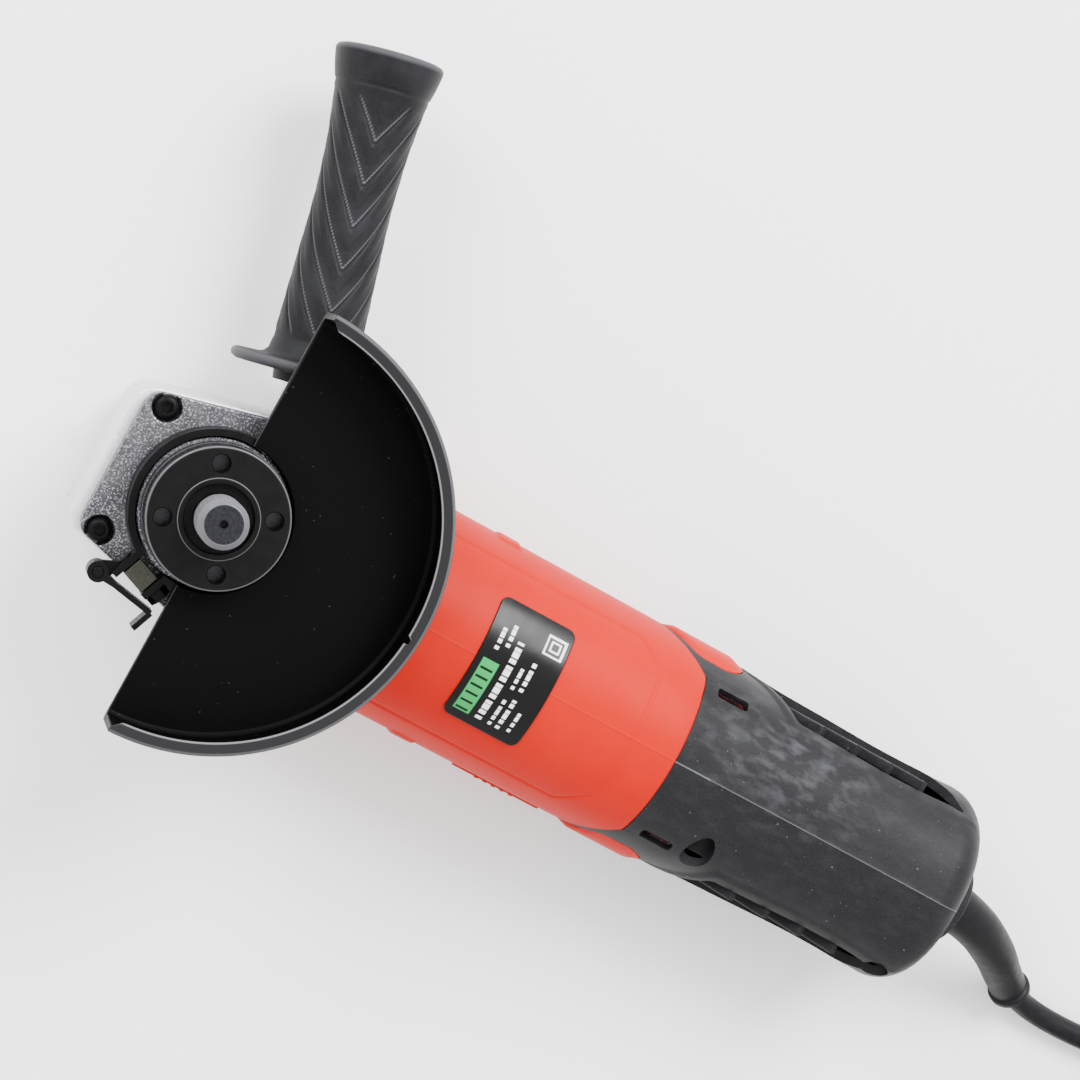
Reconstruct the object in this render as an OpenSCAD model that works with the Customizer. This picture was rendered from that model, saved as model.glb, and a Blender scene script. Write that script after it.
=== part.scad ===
// Angle grinder for 115 mm discs, lying on the top of its gear case with the spindle up.
// Origin: centre of the gear case's flat top, under the spindle. +X runs back along the motor
// to the cord, +Y to the side handle, +Z along the spindle to the disc side. Millimetres.

/* [Overall] */
// Height of the motor housing over the gear case's flat top
rest_gap = 1; // [0.5:0.5:4]
// Outside diameter of the motor housing
housing_d = 66; // [62:1:80]
// Distance from the spindle axis to the joint between gear case and motor housing
case_rear_x = 40; // [39:1:50]
// Length of the motor housing at its top line
housing_len = 112; // [108:1:140]
// Length of the rear handle behind the motor housing
handle_len = 104; // [92:1:130]

/* [Gear case] */
// Distance from the spindle axis to the front face
case_front = 33; // [32:1:42]
// Angle at which each side wall spreads towards the rear
side_angle = 14.5; // [8:0.5:18]
// Radius of the front corners
case_corner_r = 5; // [3:0.5:7]
// Height of the face under the bearing cover over the motor axis
face_h = 16; // [16:0.5:20]
// Thickness of the bearing cover's plate
cover_t = 6; // [5:0.5:8]
// Distance that the cover stays back from the case's front face
cover_setback = 2.5; // [1:0.5:4]
// Diameter of the neck that carries the guard
neck_d = 43; // [40:0.5:50]
// Amount by which the neck over the cover's plate is lower than the housing's radius
neck_fall = 22.5; // [19:0.5:23]
// Diameter of the threaded holes for the side handle (M8)
handle_hole_d = 8; // [6:1:10]
// Depth of the threaded holes for the side handle
handle_hole_depth = 13; // [10:1:14]

/* [Spindle and gears] */
// Diameter of the spindle's thread (M14)
spindle_d = 14; // [10:1:16]
// Length of the spindle that stands out of the lock nut
spindle_out = 14; // [8:0.5:20]
// Diameter of the two clamping flanges
flange_d = 40; // [33:1:41]
// Circle of the four spanner holes in the lock nut
spanner_pcd = 30.5; // [28:0.5:32]
// Diameter of a spanner hole
spanner_hole_d = 5; // [4:0.5:6]
// Module of the bevel gears at their large ends
gear_module = 1.2; // [1.0:0.05:1.25]
// Teeth of the pinion on the motor shaft
pinion_teeth = 12; // [12:1:13]
// Teeth of the large bevel gear
gear_teeth = 36; // [34:1:38]
// Travel of the spindle lock button
lock_travel = 4; // [3:0.5:5]

/* [Guard] */
// Outside diameter of the guard
guard_d = 128; // [122:1:150]
// Height of the guard's skirt from its plate to its lip
guard_h = 21.5; // [16:0.5:28]
// Thickness of the guard's sheet
guard_t = 2; // [1.2:0.1:2.5]
// Width of the lip that turns inwards
lip_w = 4; // [2:0.5:8]
// Direction of the opening in the clamping band, in degrees from +X
gap_angle = -111; // [-125:1:-100]

/* [Side handle] */
// Length of the handle with its flange
grip_len = 95; // [80:1:125]
// Diameter of the handle's flange
grip_flange_d = 47; // [36:1:56]
// Diameter of the grip near its flange
grip_d = 25; // [22:1:32]
// Diameter of the flared end
grip_end_d = 32; // [26:1:40]

/* [Motor] */
// Diameter of the armature
armature_d = 34; // [30:1:36]
// Length of the armature's and the stator's stacks
stack_len = 42; // [34:1:46]
// Diameter of the commutator
commutator_d = 24; // [20:1:26]
// Diameter of the fan
fan_d = 54; // [46:1:56]
// Blades on the fan
fan_blades = 16; // [10:1:20]

/* [Rear handle] */
// Amount by which the handle is narrower than the motor housing at its waist, on each side
waist_fall = 2; // [-1:0.5:5]
// Amount by which the handle is narrower than the motor housing at its bulge, on each side
bulge_fall = 1; // [-3:0.5:5]
// Thickness of the shells
shell_t = 2.6; // [2:0.2:3]
// Travel of the slide switch
switch_travel = 7; // [4:0.5:8]

/* [Cord] */
// Diameter of the cord
cord_d = 7.5; // [6:0.5:9]
// Diameter at the middle of the coil's turns
coil_d = 82.4; // [75:1:95]

/* [Hidden] */
$fn = 64;

// running clearance of a pin in its hole, gap between moving curved faces, gap in a hidden joint
run = 0.05;
gap = 0.3;
joint_gap = 0.15;
over = 0.5;

housing_r = housing_d / 2;
housing_t = 3.2;
housing_in_r = housing_r - housing_t;
housing_rear_x = case_rear_x + housing_len;
handle_rear_x = housing_rear_x + handle_len;
axis_h = housing_r + rest_gap;

case_h = axis_h + face_h;
cover_top = case_h + cover_t;
neck_r = neck_d / 2;
neck_top = cover_top + housing_r - neck_fall;
plate_z = neck_top + 1.1;
flange_r = flange_d / 2;

// gear train: both pitch cones meet at the crossing of the two axes
cone_len = gear_module / 2 * sqrt(pinion_teeth * pinion_teeth + gear_teeth * gear_teeth);
face_w = 6;
pinion_cone = atan(pinion_teeth / gear_teeth);
gear_cone = 90 - pinion_cone;
addendum = 0.8;
dedendum = 1.25;
gear_r = gear_module * gear_teeth / 2;
gear_out_r = gear_r + 0.4;
gear_cavity_r = gear_out_r + 2;
inner_module = gear_module * (cone_len - face_w) / cone_len;
root_outer = cone_point(gear_cone, cone_len, -dedendum * gear_module);
root_inner = cone_point(gear_cone, cone_len - face_w, -dedendum * inner_module);
gear_back_z = axis_h + root_outer[1] + 4.4;
web_z = axis_h + root_inner[1];

// spindle stations from the needle bearing to the flange seat
needle_r = 6;
needle_z = [8, 16];
journal_r = 4;
shaft_r = 6;
ball_r = 16;
ball_w = 10;
ball_z = case_h - 1.5;
shoulder_r = 8.5;
flange_z = plate_z + 0.2;
seat_t = 5.7;
pilot_h = 1.5;
nut_z = flange_z + seat_t + pilot_h;
nut_t = 4.5;
nut_top = nut_z + nut_t;
hub_ring_h = 0.8;
hub_ring_r = [9.6, 11.5];
spanner_angle = 26;
pilot_r = 11.1;
thread_r = spindle_d / 2;
spindle_top = nut_top + spindle_out;
spindle_chamfer = 1.4;

// spindle lock
lock_r = gear_r * 7 / 12;
lock_pin_r = 1.8;
lock_hole_r = 2.2;
lock_holes = 12;
lock_head_r = 5.2;
lock_head_z = [0.8, 4.8];
lock_recess = 12;
lock_pin_top = web_z - 0.8;

// screws
cover_screw_x = 24.5;
cover_screw_y = 19.5;
screw_r = 2;
head_r = 3.7;
case_screw_top = [14, 26.5];
case_screw_low = [21.5, -21];

// side walls and the handle that stands square on them
wall_offset = housing_r * cos(side_angle) - 9 * sin(side_angle);
handle_x = 12.2;
handle_y = (wall_offset + handle_x * sin(side_angle)) / cos(side_angle);

// motor stations along X, shaft radii under the pinion and under the core
nose_r = 2.6;
trunk_r = 5;
bearing_x = case_rear_x - 10;
bearing_w = 8;
bearing_r = 14;
fan_x = case_rear_x + 6;
baffle_x = case_rear_x + 19.2;
stack_x = case_rear_x + 30;
stack_end = stack_x + stack_len;
commutator_x = housing_rear_x - 10;
commutator_len = 16;
brush_x = commutator_x + commutator_len / 2;
carrier_r = 25;
carrier_t = 2.2;
carrier_end = housing_rear_x + 18;
rear_bearing_w = 7;
rear_bearing_r = 11;
stator_r = housing_in_r - 1.3;
armature_r = armature_d / 2;

// slide switch: its own plane turns about the motor axis
switch_angle = 200;
switch_x = case_rear_x + 78;
rod_r = 1.2;
rod_path_r = stator_r - 1.3;
slot_half_w = 2.5;

// guard and its clamping band
guard_r = guard_d / 2;
guard_lip_z = plate_z + guard_h;
band_in_r = neck_r + gap;
band_t = 2;
band_z = cover_top + 1;
ear_z = [band_z + 1, band_z + 8.5];
bolt_x = band_in_r + 4.6;
pivot = [band_in_r + 12.7, -8.5];
lever_tip = [band_in_r + 9.4, 9.8];
pin_r = 1.5;

// rear handle: half width at the waist and at the bulge
waist_half_w = housing_r - waist_fall;
bulge_half_w = housing_r - bulge_fall;

// rear handle sections: distance behind the housing, half width, half height
handle_sections = [
    [0, housing_r, housing_r],
    [0.12, housing_r - 0.6, housing_r - 0.3],
    [0.25, waist_half_w + 0.6, housing_r - 0.8],
    [0.45, waist_half_w + 0.2, housing_r - 1.3],
    [0.65, waist_half_w, housing_r - 1.3],
    [0.8, bulge_half_w - 0.6, housing_r - 0.5],
    [0.9, bulge_half_w, axis_h],
    [0.95, bulge_half_w - 1.5, axis_h - 2],
    [0.98, bulge_half_w - 6, axis_h - 6],
    [1, bulge_half_w - 13, axis_h - 14]
];
section_sides = 40;

// strain relief and cord: points chosen by hand, measured from the rear end of the handle
cord_r = cord_d / 2;
gland_r = cord_r + 7.75;
collar_reach = 7.5;
boot_start_r = gland_r - 3.3;
boot_end_r = cord_r + 2.25;
boot_bead_r = boot_end_r + 0.6;
boot_route = [for (p = [[0, 0, 0], [10, -0.6, -1], [22, -3, -4.5], [34, -7.5, -11.5],
    [44, -12.5, -19.5], [53, -17, -26]]) p + [handle_rear_x, 0, axis_h]];
cord_route = concat([boot_route[5]], [for (p = [[61, -19, 5.1], [70, -20, 4.1], [82, -20, 3.9],
    [96, -19, 4.2], [112, -17.8, 4.5], [129, -17.3, 4.6]]) p + [handle_rear_x, 0, 0]]);
coil_centre = [handle_rear_x + 152, -66];
coil_base = 0.8;
coil_pitch = 7.8;
coil_layers = 3;
plug_y = coil_centre[1] - coil_d / 2;
plug_z = 18.8;
plug_rear_x = handle_rear_x + 116;
plug_len = 48;
plug_r = 18.3;
plug_pin_r = 2.4;
plug_pin_len = 19;
plug_pin_spread = 9.5;

// ---------- helpers ----------

function cone_point(cone, s, h) =
    [s * sin(cone) + h * cos(cone), s * cos(cone) - h * sin(cone)];

function arc(centre, r, from, to, steps = 8) =
    [for (i = [0 : steps]) let (a = from + (to - from) * i / steps) centre + r * [cos(a), sin(a)]];

function mirror_y(points) = [for (i = [len(points) - 1 : -1 : 0]) [points[i][0], -points[i][1]]];

// outline of the gear case seen along the spindle, set in by a margin
function case_outline(margin, front, rear) =
    let (r = case_corner_r,
         line = wall_offset - margin - r,
         cx = -front + r,
         cy = (line + cx * sin(side_angle)) / cos(side_angle),
         w = housing_r - margin,
         bend = (w * cos(side_angle) - wall_offset + margin) / sin(side_angle),
         half = concat(arc([cx, cy], r, 180, 90 + side_angle), [[bend, w], [rear, w]]))
    concat(half, mirror_y(half));

function unit(v) = v / norm(v);

function spline_point(a, b, c, d, t) =
    0.5 * (2 * b + (c - a) * t + (2 * a - 5 * b + 4 * c - d) * t * t
        + (3 * b - a - 3 * c + d) * t * t * t);

// smooth curve through a list of points
function spline(points, steps) =
    let (n = len(points), last = n - 1)
    concat([for (i = [0 : n - 2], j = [0 : steps - 1])
        spline_point(points[max(i - 1, 0)], points[i], points[i + 1],
            points[min(i + 2, last)], j / steps)], [points[last]]);

function tangent(points, i) =
    unit(points[min(i + 1, len(points) - 1)] - points[max(i - 1, 0)]);

// round tube along a curve, with a radius for each of its points
module sweep(points, radii, sides) {
    n = len(points);
    rings = [for (i = [0 : n - 1])
        let (t = tangent(points, i), side = unit(cross(t, [0, 0, 1])), up = cross(side, t))
        for (k = [0 : sides - 1])
            points[i] + radii[i] * (cos(360 * k / sides) * side + sin(360 * k / sides) * up)];
    quads = [for (i = [0 : n - 2], k = [0 : sides - 1])
        let (a = i * sides + k, b = i * sides + (k + 1) % sides)
        [a, b, b + sides, a + sides]];
    start = [for (k = [sides - 1 : -1 : 0]) k];
    end = [for (k = [0 : sides - 1]) (n - 1) * sides + k];
    polyhedron(rings, concat([start], quads, [end]));
}

function helix(r, pitch, turns, steps) =
    [for (i = [0 : turns * steps])
        [r * cos(360 * i / steps), r * sin(360 * i / steps), pitch * i / steps]];

// cylinder along +X, centred on the motor axis
module along_x(x0, x1, r) {
    translate([x0, 0, axis_h]) rotate([0, 90, 0]) cylinder(h = x1 - x0, r = r);
}

module ring_x(x0, x1, r_out, r_in) {
    difference() {
        along_x(x0, x1, r_out);
        along_x(x0 - over, x1 + over, r_in);
    }
}

module ring_z(z0, z1, r_out, r_in) {
    translate([0, 0, z0]) difference() {
        cylinder(h = z1 - z0, r = r_out);
        translate([0, 0, -over]) cylinder(h = z1 - z0 + 2 * over, r = r_in);
    }
}

module post(x, y, z0, z1, r) {
    translate([x, y, z0]) cylinder(h = z1 - z0, r = r);
}

module block(low, high) {
    translate(low) cube(high - low);
}

// turns the XY plane into the plane across the motor axis, with Y to Y and Z to X
module across_motor(x) {
    translate([x, 0, axis_h]) rotate([90, 0, 90]) children();
}

// places children at the four case screws, their axes along +X
module at_case_screws() {
    for (side = [-1, 1], place = [case_screw_top, case_screw_low])
        translate([0, side * place[0], axis_h + place[1]]) rotate([0, 90, 0]) children();
}

module at_cover_screws() {
    for (sx = [-1, 1], sy = [-1, 1])
        translate([sx * cover_screw_x, sy * cover_screw_y, 0]) children();
}

// local frame on a side wall: +Z leaves the wall square
module on_wall(side) {
    translate([handle_x, side * handle_y, axis_h])
        rotate([0, 0, side * side_angle]) rotate([-side * 90, 0, 0]) children();
}

// ---------- gear case ----------

module case_body() {
    hull() {
        translate([0, 0, 1]) linear_extrude(1)
            polygon(case_outline(7, case_front - 7, case_rear_x - 14));
        translate([0, 0, 9]) linear_extrude(case_h - 9)
            polygon(case_outline(0, case_front, case_rear_x - 14));
    }
    hull() {
        block([case_rear_x - 30, -housing_r, 8], [case_rear_x - 28, housing_r, case_h]);
        along_x(case_rear_x - 6, case_rear_x, housing_r);
    }
    linear_extrude(3) polygon(case_outline(10, case_front - 10, case_rear_x - 20));
    along_x(case_rear_x - 9, case_rear_x, housing_r);
    for (side = [-1, 1]) on_wall(side) translate([0, 0, -9]) cylinder(h = 9, r = 8.5);
}

module gear_case() {
    step_x = case_rear_x - 10;
    color("darkgray") difference() {
        case_body();
        // seat of the bearing cover, cut square in front of the round flange
        block([-case_front - 9, -housing_r - 9, case_h], [step_x, housing_r + 9, housing_d + 9]);
        // chamber of the bevel gears
        post(0, 0, axis_h + 2, case_h + over, gear_cavity_r);
        post(0, 0, needle_z[1], axis_h + 2 + over, lock_r + 2.9);
        post(0, 0, needle_z[0], needle_z[1] + over, needle_r);
        along_x(0, bearing_x + over, bearing_r - 1);
        along_x(bearing_x, case_rear_x + over, bearing_r);
        // recess and guide of the lock button
        post(-lock_r, 0, -over, lock_recess, lock_head_r + gap);
        post(-lock_r, 0, 0, needle_z[1] + over, lock_pin_r + run);
        // threaded holes of the side handle
        for (side = [-1, 1]) on_wall(side) translate([0, 0, -handle_hole_depth])
            cylinder(h = handle_hole_depth + 9, d = handle_hole_d);
        // screws: through the flange, with pockets from the front for the lower pair
        at_case_screws() translate([0, 0, step_x - over]) cylinder(h = 99, r = screw_r + gap);
        for (side = [-1, 1])
            translate([-case_front - 9, side * case_screw_low[0], axis_h + case_screw_low[1]])
                rotate([0, 90, 0]) cylinder(h = case_front + 9 + step_x, r = head_r + 0.7);
        at_cover_screws() translate([0, 0, case_h - 13]) cylinder(h = 14, r = screw_r);
        // air outlets at both sides
        for (side = [-1, 1], level = [-7, 0, 7])
            translate([case_rear_x - 12, side * (housing_r - 2.5), axis_h + level])
                cube([30, 9, 4], center = true);
    }
}

module bearing_cover() {
    color("silver") difference() {
        union() {
            translate([0, 0, case_h]) linear_extrude(cover_t)
                polygon(case_outline(0.8, case_front - cover_setback, case_rear_x - 10.5));
            post(0, 0, case_h - 2.7, case_h + over, gear_cavity_r - 0.1);
            post(0, 0, case_h, neck_top, neck_r);
        }
        post(0, 0, 0, ball_z, ball_r + 1);
        post(0, 0, 0, ball_z + ball_w, ball_r);
        post(0, 0, 0, neck_top + over, shoulder_r + 0.8);
        post(0, 0, ball_z + ball_w + 1.5, neck_top + over, shoulder_r + 3.5);
        at_cover_screws() translate([0, 0, case_h - over]) cylinder(h = 20, r = screw_r + gap);
        at_cover_screws() translate([0, 0, cover_top - 2.4]) cylinder(h = 20, r = head_r + 0.5);
    }
}

module screw(length) {
    difference() {
        union() {
            translate([0, 0, -length]) cylinder(h = length, r = screw_r);
            cylinder(h = 3, r = head_r);
        }
        translate([0, 0, 1.4]) cylinder(h = 2, r = 1.9, $fn = 6);
    }
}

module cover_screws() {
    color("dimgray") at_cover_screws() translate([0, 0, cover_top - 2.4]) screw(13);
}

module case_screws() {
    color("dimgray") at_case_screws() translate([0, 0, case_rear_x - 10])
        rotate([180, 0, 0]) screw(22);
}

// ---------- spindle ----------

module needle_bearing() {
    color("lightsteelblue") ring_z(needle_z[0], needle_z[1], needle_r, journal_r + run);
}

module spindle_bearing() {
    color("lightsteelblue") ring_z(ball_z, ball_z + ball_w, ball_r, shaft_r + run);
}

module bearing_retainer() {
    color("gray") ring_z(ball_z - 1.1, ball_z, ball_r + 0.9, 12);
}

module spindle_seal() {
    z0 = ball_z + ball_w + 1.5;
    color("black") ring_z(z0, z0 + 4, shoulder_r + 3.5, shoulder_r + gap);
}

module spindle() {
    chamfer_z = spindle_top - spindle_chamfer;
    color("slategray") difference() {
        union() {
            post(0, 0, needle_z[0] + 0.4, needle_z[1] + 1, journal_r);
            post(0, 0, needle_z[1] + 1, ball_z + ball_w + 0.4, shaft_r);
            post(0, 0, ball_z + ball_w + 0.4, flange_z, shoulder_r);
            post(0, 0, flange_z, chamfer_z, thread_r);
            translate([0, 0, chamfer_z])
                cylinder(h = spindle_chamfer, r1 = thread_r, r2 = thread_r - spindle_chamfer);
        }
        // centre mark, thread run-out over the nut and the two flats that turn the inner flange
        post(0, 0, spindle_top - 3, spindle_top + over, 1);
        ring_z(nut_top + hub_ring_h - 1, nut_top + hub_ring_h, thread_r + 2, thread_r - 0.4);
        for (side = [-1, 1]) translate([0, side * (thread_r + 4), flange_z + 3])
            cube([20, 10, 6], center = true);
    }
}

// one straight bevel tooth as a block that tapers to the cones' apex
module bevel_tooth(cone) {
    ends = [cone_len - face_w, cone_len];
    tip_half = 0.30;
    root_half = 1.08;
    rows = [for (s = ends) let (m = gear_module * s / cone_len)
        for (c = [[-(dedendum + 0.2), root_half], [addendum, tip_half]], side = [-1, 1])
            let (p = cone_point(cone, s, c[0] * m)) [p[0], side * c[1] * m, p[1]]];
    polyhedron(rows, [[2, 3, 1, 0], [5, 7, 6, 4], [1, 5, 4, 0], [6, 7, 3, 2], [4, 6, 2, 0],
        [3, 7, 5, 1]]);
}

module bevel_gear() {
    color("darkslategray") translate([0, 0, axis_h]) {
        difference() {
            rotate_extrude() polygon([[shaft_r, root_inner[1] - 2.3],
                [shaft_r + 2.5, root_inner[1] - 2.3], [shaft_r + 2.5, root_inner[1]],
                root_inner, root_outer,
                [gear_out_r, root_outer[1] + 0.6], [gear_out_r, gear_back_z - axis_h],
                [9, gear_back_z - axis_h], [9, ball_z - axis_h], [shaft_r, ball_z - axis_h]]);
            for (i = [0 : lock_holes - 1]) rotate(i * 360 / lock_holes)
                translate([-lock_r, 0, root_inner[1] - 1]) cylinder(h = 5, r = lock_hole_r);
        }
        for (i = [0 : gear_teeth - 1]) rotate((i + 0.5) * 360 / gear_teeth) bevel_tooth(gear_cone);
    }
}

module inner_flange() {
    seat_z = flange_z + seat_t;
    color("dimgray") {
        ring_z(flange_z, seat_z - 1, flange_r + 0.5, thread_r + run);
        ring_z(seat_z - 1, seat_z, flange_r - 1, thread_r + run);
        ring_z(seat_z, seat_z + pilot_h, pilot_r, thread_r + run);
    }
}

module lock_nut() {
    color("#2a2a2c") difference() {
        union() {
            post(0, 0, nut_z, nut_top, flange_r);
            post(0, 0, nut_top - 1, nut_top + hub_ring_h, hub_ring_r[1]);
        }
        post(0, 0, nut_z - over, nut_top + 2, thread_r + run);
        post(0, 0, nut_top - 1.2, nut_top + 2, hub_ring_r[0]);
        for (i = [0 : 3]) rotate(90 * i + spanner_angle)
            post(spanner_pcd / 2, 0, nut_z - over, nut_top + over, spanner_hole_d / 2);
    }
}

module lock_button() {
    color("#202022") {
        post(-lock_r, 0, lock_head_z[0], lock_head_z[1], lock_head_r);
        post(-lock_r, 0, lock_head_z[0] + 1, lock_pin_top, lock_pin_r);
    }
}

module lock_spring() {
    wire = 0.45;
    turns = 4;
    free = lock_recess - lock_head_z[1] - 2 * wire - 0.1;
    points = helix(3.4, free / turns, turns, 12);
    color("silver") translate([-lock_r, 0, lock_head_z[1] + wire + 0.05])
        sweep(points, [for (p = points) wire], 6);
}

// ---------- motor ----------

module pinion() {
    outer = cone_point(pinion_cone, cone_len, -dedendum * gear_module);
    inner = cone_point(pinion_cone, cone_len - face_w, -dedendum * inner_module);
    color("darkslategray") translate([0, 0, axis_h]) rotate([0, 90, 0]) {
        rotate_extrude() polygon([[nose_r, inner[1]], inner, outer, [outer[0] + 1.5, outer[1] + 1.5],
            [outer[0] + 1.5, bearing_x - 0.8], [nose_r, bearing_x - 0.8]]);
        for (i = [0 : pinion_teeth - 1])
            rotate(180 + i * 360 / pinion_teeth) bevel_tooth(pinion_cone);
    }
}

module pinion_nut() {
    inner = cone_point(pinion_cone, cone_len - face_w, -dedendum * inner_module);
    x1 = inner[1];
    color("gray") difference() {
        translate([x1 - 3.2, 0, axis_h]) rotate([0, 90, 0])
            cylinder(h = 3.2, r = inner[0] - 0.25, $fn = 6);
        along_x(x1 - 4, x1 + 1, nose_r);
    }
}

module front_motor_bearing() {
    color("lightsteelblue") ring_x(bearing_x, bearing_x + bearing_w, bearing_r - 0.02, shaft_r + run);
}

module rear_motor_bearing() {
    color("lightsteelblue") ring_x(carrier_end - rear_bearing_w - 1, carrier_end - 1,
        rear_bearing_r - 0.02, journal_r + run);
}

module armature_shaft() {
    nose = cone_point(pinion_cone, cone_len - face_w, -dedendum * inner_module)[1] - 4;
    color("slategray") {
        along_x(nose, bearing_x - 0.8, nose_r);
        along_x(bearing_x - 0.8, bearing_x + bearing_w + 0.4, shaft_r);
        along_x(bearing_x + bearing_w + 0.4, carrier_end - rear_bearing_w - 1.4, trunk_r);
        along_x(carrier_end - rear_bearing_w - 1.4, carrier_end - 1.5, journal_r);
    }
}

armature_slots = 12;
slot_in_r = armature_r - 8;

// outline of a slot for the windings, from its floor to the armature's rim
module slot_outline(width, reach) {
    translate([slot_in_r, -width / 2]) square([reach, width]);
}

module armature_core() {
    color("#8c8c90") across_motor(stack_x) linear_extrude(stack_len) difference() {
        circle(armature_r);
        circle(trunk_r);
        for (i = [0 : armature_slots - 1]) rotate(i * 360 / armature_slots) slot_outline(3.2, 9);
    }
}

module armature_windings() {
    lead = 10;
    color("#b87333") {
        across_motor(stack_x) for (i = [0 : armature_slots - 1]) rotate(i * 360 / armature_slots)
            linear_extrude(stack_len) slot_outline(3, 7.2);
        for (x0 = [stack_x - lead, stack_end]) ring_x(x0, x0 + lead, armature_r - 0.9, trunk_r);
        ring_x(stack_end + lead, commutator_x, 8, trunk_r);
    }
}

module commutator() {
    r = commutator_d / 2;
    bars = 24;
    color("#b9744a") across_motor(commutator_x) linear_extrude(commutator_len) difference() {
        circle(r);
        circle(trunk_r);
        for (i = [0 : bars - 1]) rotate(i * 360 / bars) translate([r - 1, -0.25]) square([2, 0.5]);
    }
}

module cooling_fan() {
    r = fan_d / 2;
    blade_h = 9;
    color("#1f1f22") {
        ring_x(fan_x, fan_x + blade_h + 2, 8, trunk_r);
        ring_x(fan_x + blade_h, fan_x + blade_h + 2, r, 8);
        across_motor(fan_x) for (i = [0 : fan_blades - 1]) rotate(i * 360 / fan_blades)
            translate([11, 0]) rotate(18) linear_extrude(blade_h) translate([0, -0.6])
                square([r - 13, 1.2]);
    }
}

module air_baffle() {
    color("#1f1f22") ring_x(baffle_x, baffle_x + 2, housing_in_r - 0.1, armature_r + 3.5);
}

// the four slots through which the field coils run
module coil_slots(inset) {
    for (a = [45, 135, 225, 315]) rotate(a) translate([armature_r + 2.5 + inset, -4.5 + inset])
        square([stator_r - armature_r - 5 - 2 * inset, 9 - 2 * inset]);
}

module stator_core() {
    color("#77777c") across_motor(stack_x) linear_extrude(stack_len) difference() {
        circle(stator_r);
        circle(armature_r + 0.6);
        coil_slots(0);
        // groove that the switch rod passes through
        rotate(switch_angle) translate([rod_path_r - rod_r - gap - 0.4, -slot_half_w - 0.1])
            square([9, 2 * slot_half_w + 0.2]);
    }
}

module stator_windings() {
    r_in = armature_r + 2.7;
    r_out = stator_r - 2.7;
    color("#a5622c") {
        across_motor(stack_x - 7) linear_extrude(stack_len + 14) coil_slots(0.2);
        for (x0 = [stack_x - 7.5, stack_end + 0.3], start = [0, 180]) across_motor(x0)
            linear_extrude(7.2) difference() {
                intersection() {
                    circle(r_out);
                    rotate(start) translate([1.5, -r_out]) square([r_out, 2 * r_out]);
                }
                circle(r_in);
            }
    }
}

// ---------- motor housing ----------

// side notch in the housing's rear edge, seen along Y
notch_depth = 18.5;
notch_half_h = 21.5;

module side_notch(margin) {
    tip = housing_rear_x - notch_depth - margin;
    rise = notch_half_h + margin;
    translate([0, housing_r + 9, axis_h]) rotate([90, 0, 0]) linear_extrude(housing_d + 18)
        polygon([[tip, 0], [housing_rear_x, -rise], [housing_rear_x + 9, -rise],
            [housing_rear_x + 9, rise], [housing_rear_x, rise]]);
}

// outline of a brush cover seen along Y: pointed in front, blunt behind
leaf_len = 28;
leaf_half_h = 13.5;
leaf_round = 2;

module leaf(margin) {
    upper = [[-0.1 * leaf_len, leaf_half_h], [0.3 * leaf_len, leaf_half_h],
        [leaf_len / 2, 0.6 * leaf_half_h]];
    offset(r = leaf_round + margin) offset(delta = -leaf_round)
        polygon(concat([[-leaf_len / 2, 0]], upper, mirror_y(upper)));
}

module leaf_prism(margin) {
    translate([brush_x + 1.5, housing_r + 9, axis_h]) rotate([90, 0, 0])
        linear_extrude(housing_d + 18) leaf(margin);
}

module at_switch(x, r) {
    across_motor(x) rotate(switch_angle) translate([r, 0, 0]) children();
}

module motor_housing() {
    bridge_x = housing_rear_x - 8;
    slot_x = switch_x - 4 - switch_travel - 2;
    color("#e64b37") difference() {
        union() {
            difference() {
                ring_x(case_rear_x, housing_rear_x, housing_r, housing_in_r);
                side_notch(0);
            }
            // rear bridge with the brush holders' tube and the bearing seat
            ring_x(bridge_x, bridge_x + 3, housing_in_r, carrier_r - carrier_t);
            ring_x(bridge_x, carrier_end, carrier_r, carrier_r - carrier_t);
            ring_x(carrier_end - rear_bearing_w - 1, carrier_end, carrier_r, rear_bearing_r);
            ring_x(carrier_end - 1, carrier_end, rear_bearing_r + 1, journal_r + 2);
            // bosses for the case screws
            at_case_screws() translate([0, 0, case_rear_x]) cylinder(h = 13, r = 3.4);
            // rib ring that holds the stator
            ring_x(stack_end + 8, stack_end + 10, housing_in_r, stator_r - 1.5);
        }
        ring_x(case_rear_x - 1, case_rear_x + 20, housing_r + 20, housing_r);
        at_case_screws() translate([0, 0, case_rear_x - over]) cylinder(h = 13, r = screw_r);
        // openings for the brush holders
        block([brush_x - 5.1, -housing_r - over, axis_h - 6.1],
            [brush_x + 5.1, housing_r + over, axis_h + 6.1]);
        // slot of the slide button and the rod's way to the rear
        at_switch(slot_x, 0) translate([rod_path_r, -slot_half_w, 0])
            cube([20, 2 * slot_half_w, switch_travel + 12]);
        at_switch(case_rear_x + 60, rod_path_r) translate([-0.4, 0, 0])
            linear_extrude(housing_len - 52) square([2 * rod_r + 1.6, 4.4], center = true);
    }
}

label_x = [case_rear_x + 44.5, case_rear_x + 69];
label_half_angle = 34.5;
label_angle = 90;

module rating_label() {
    t = 0.3;
    color("#111111") across_motor(label_x[0]) linear_extrude(label_x[1] - label_x[0])
        polygon(concat(arc([0, 0], housing_r + 0.02, label_angle - label_half_angle,
            label_angle + label_half_angle, 24), arc([0, 0], housing_r + t,
            label_angle + label_half_angle, label_angle - label_half_angle, 24)));
}

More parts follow.
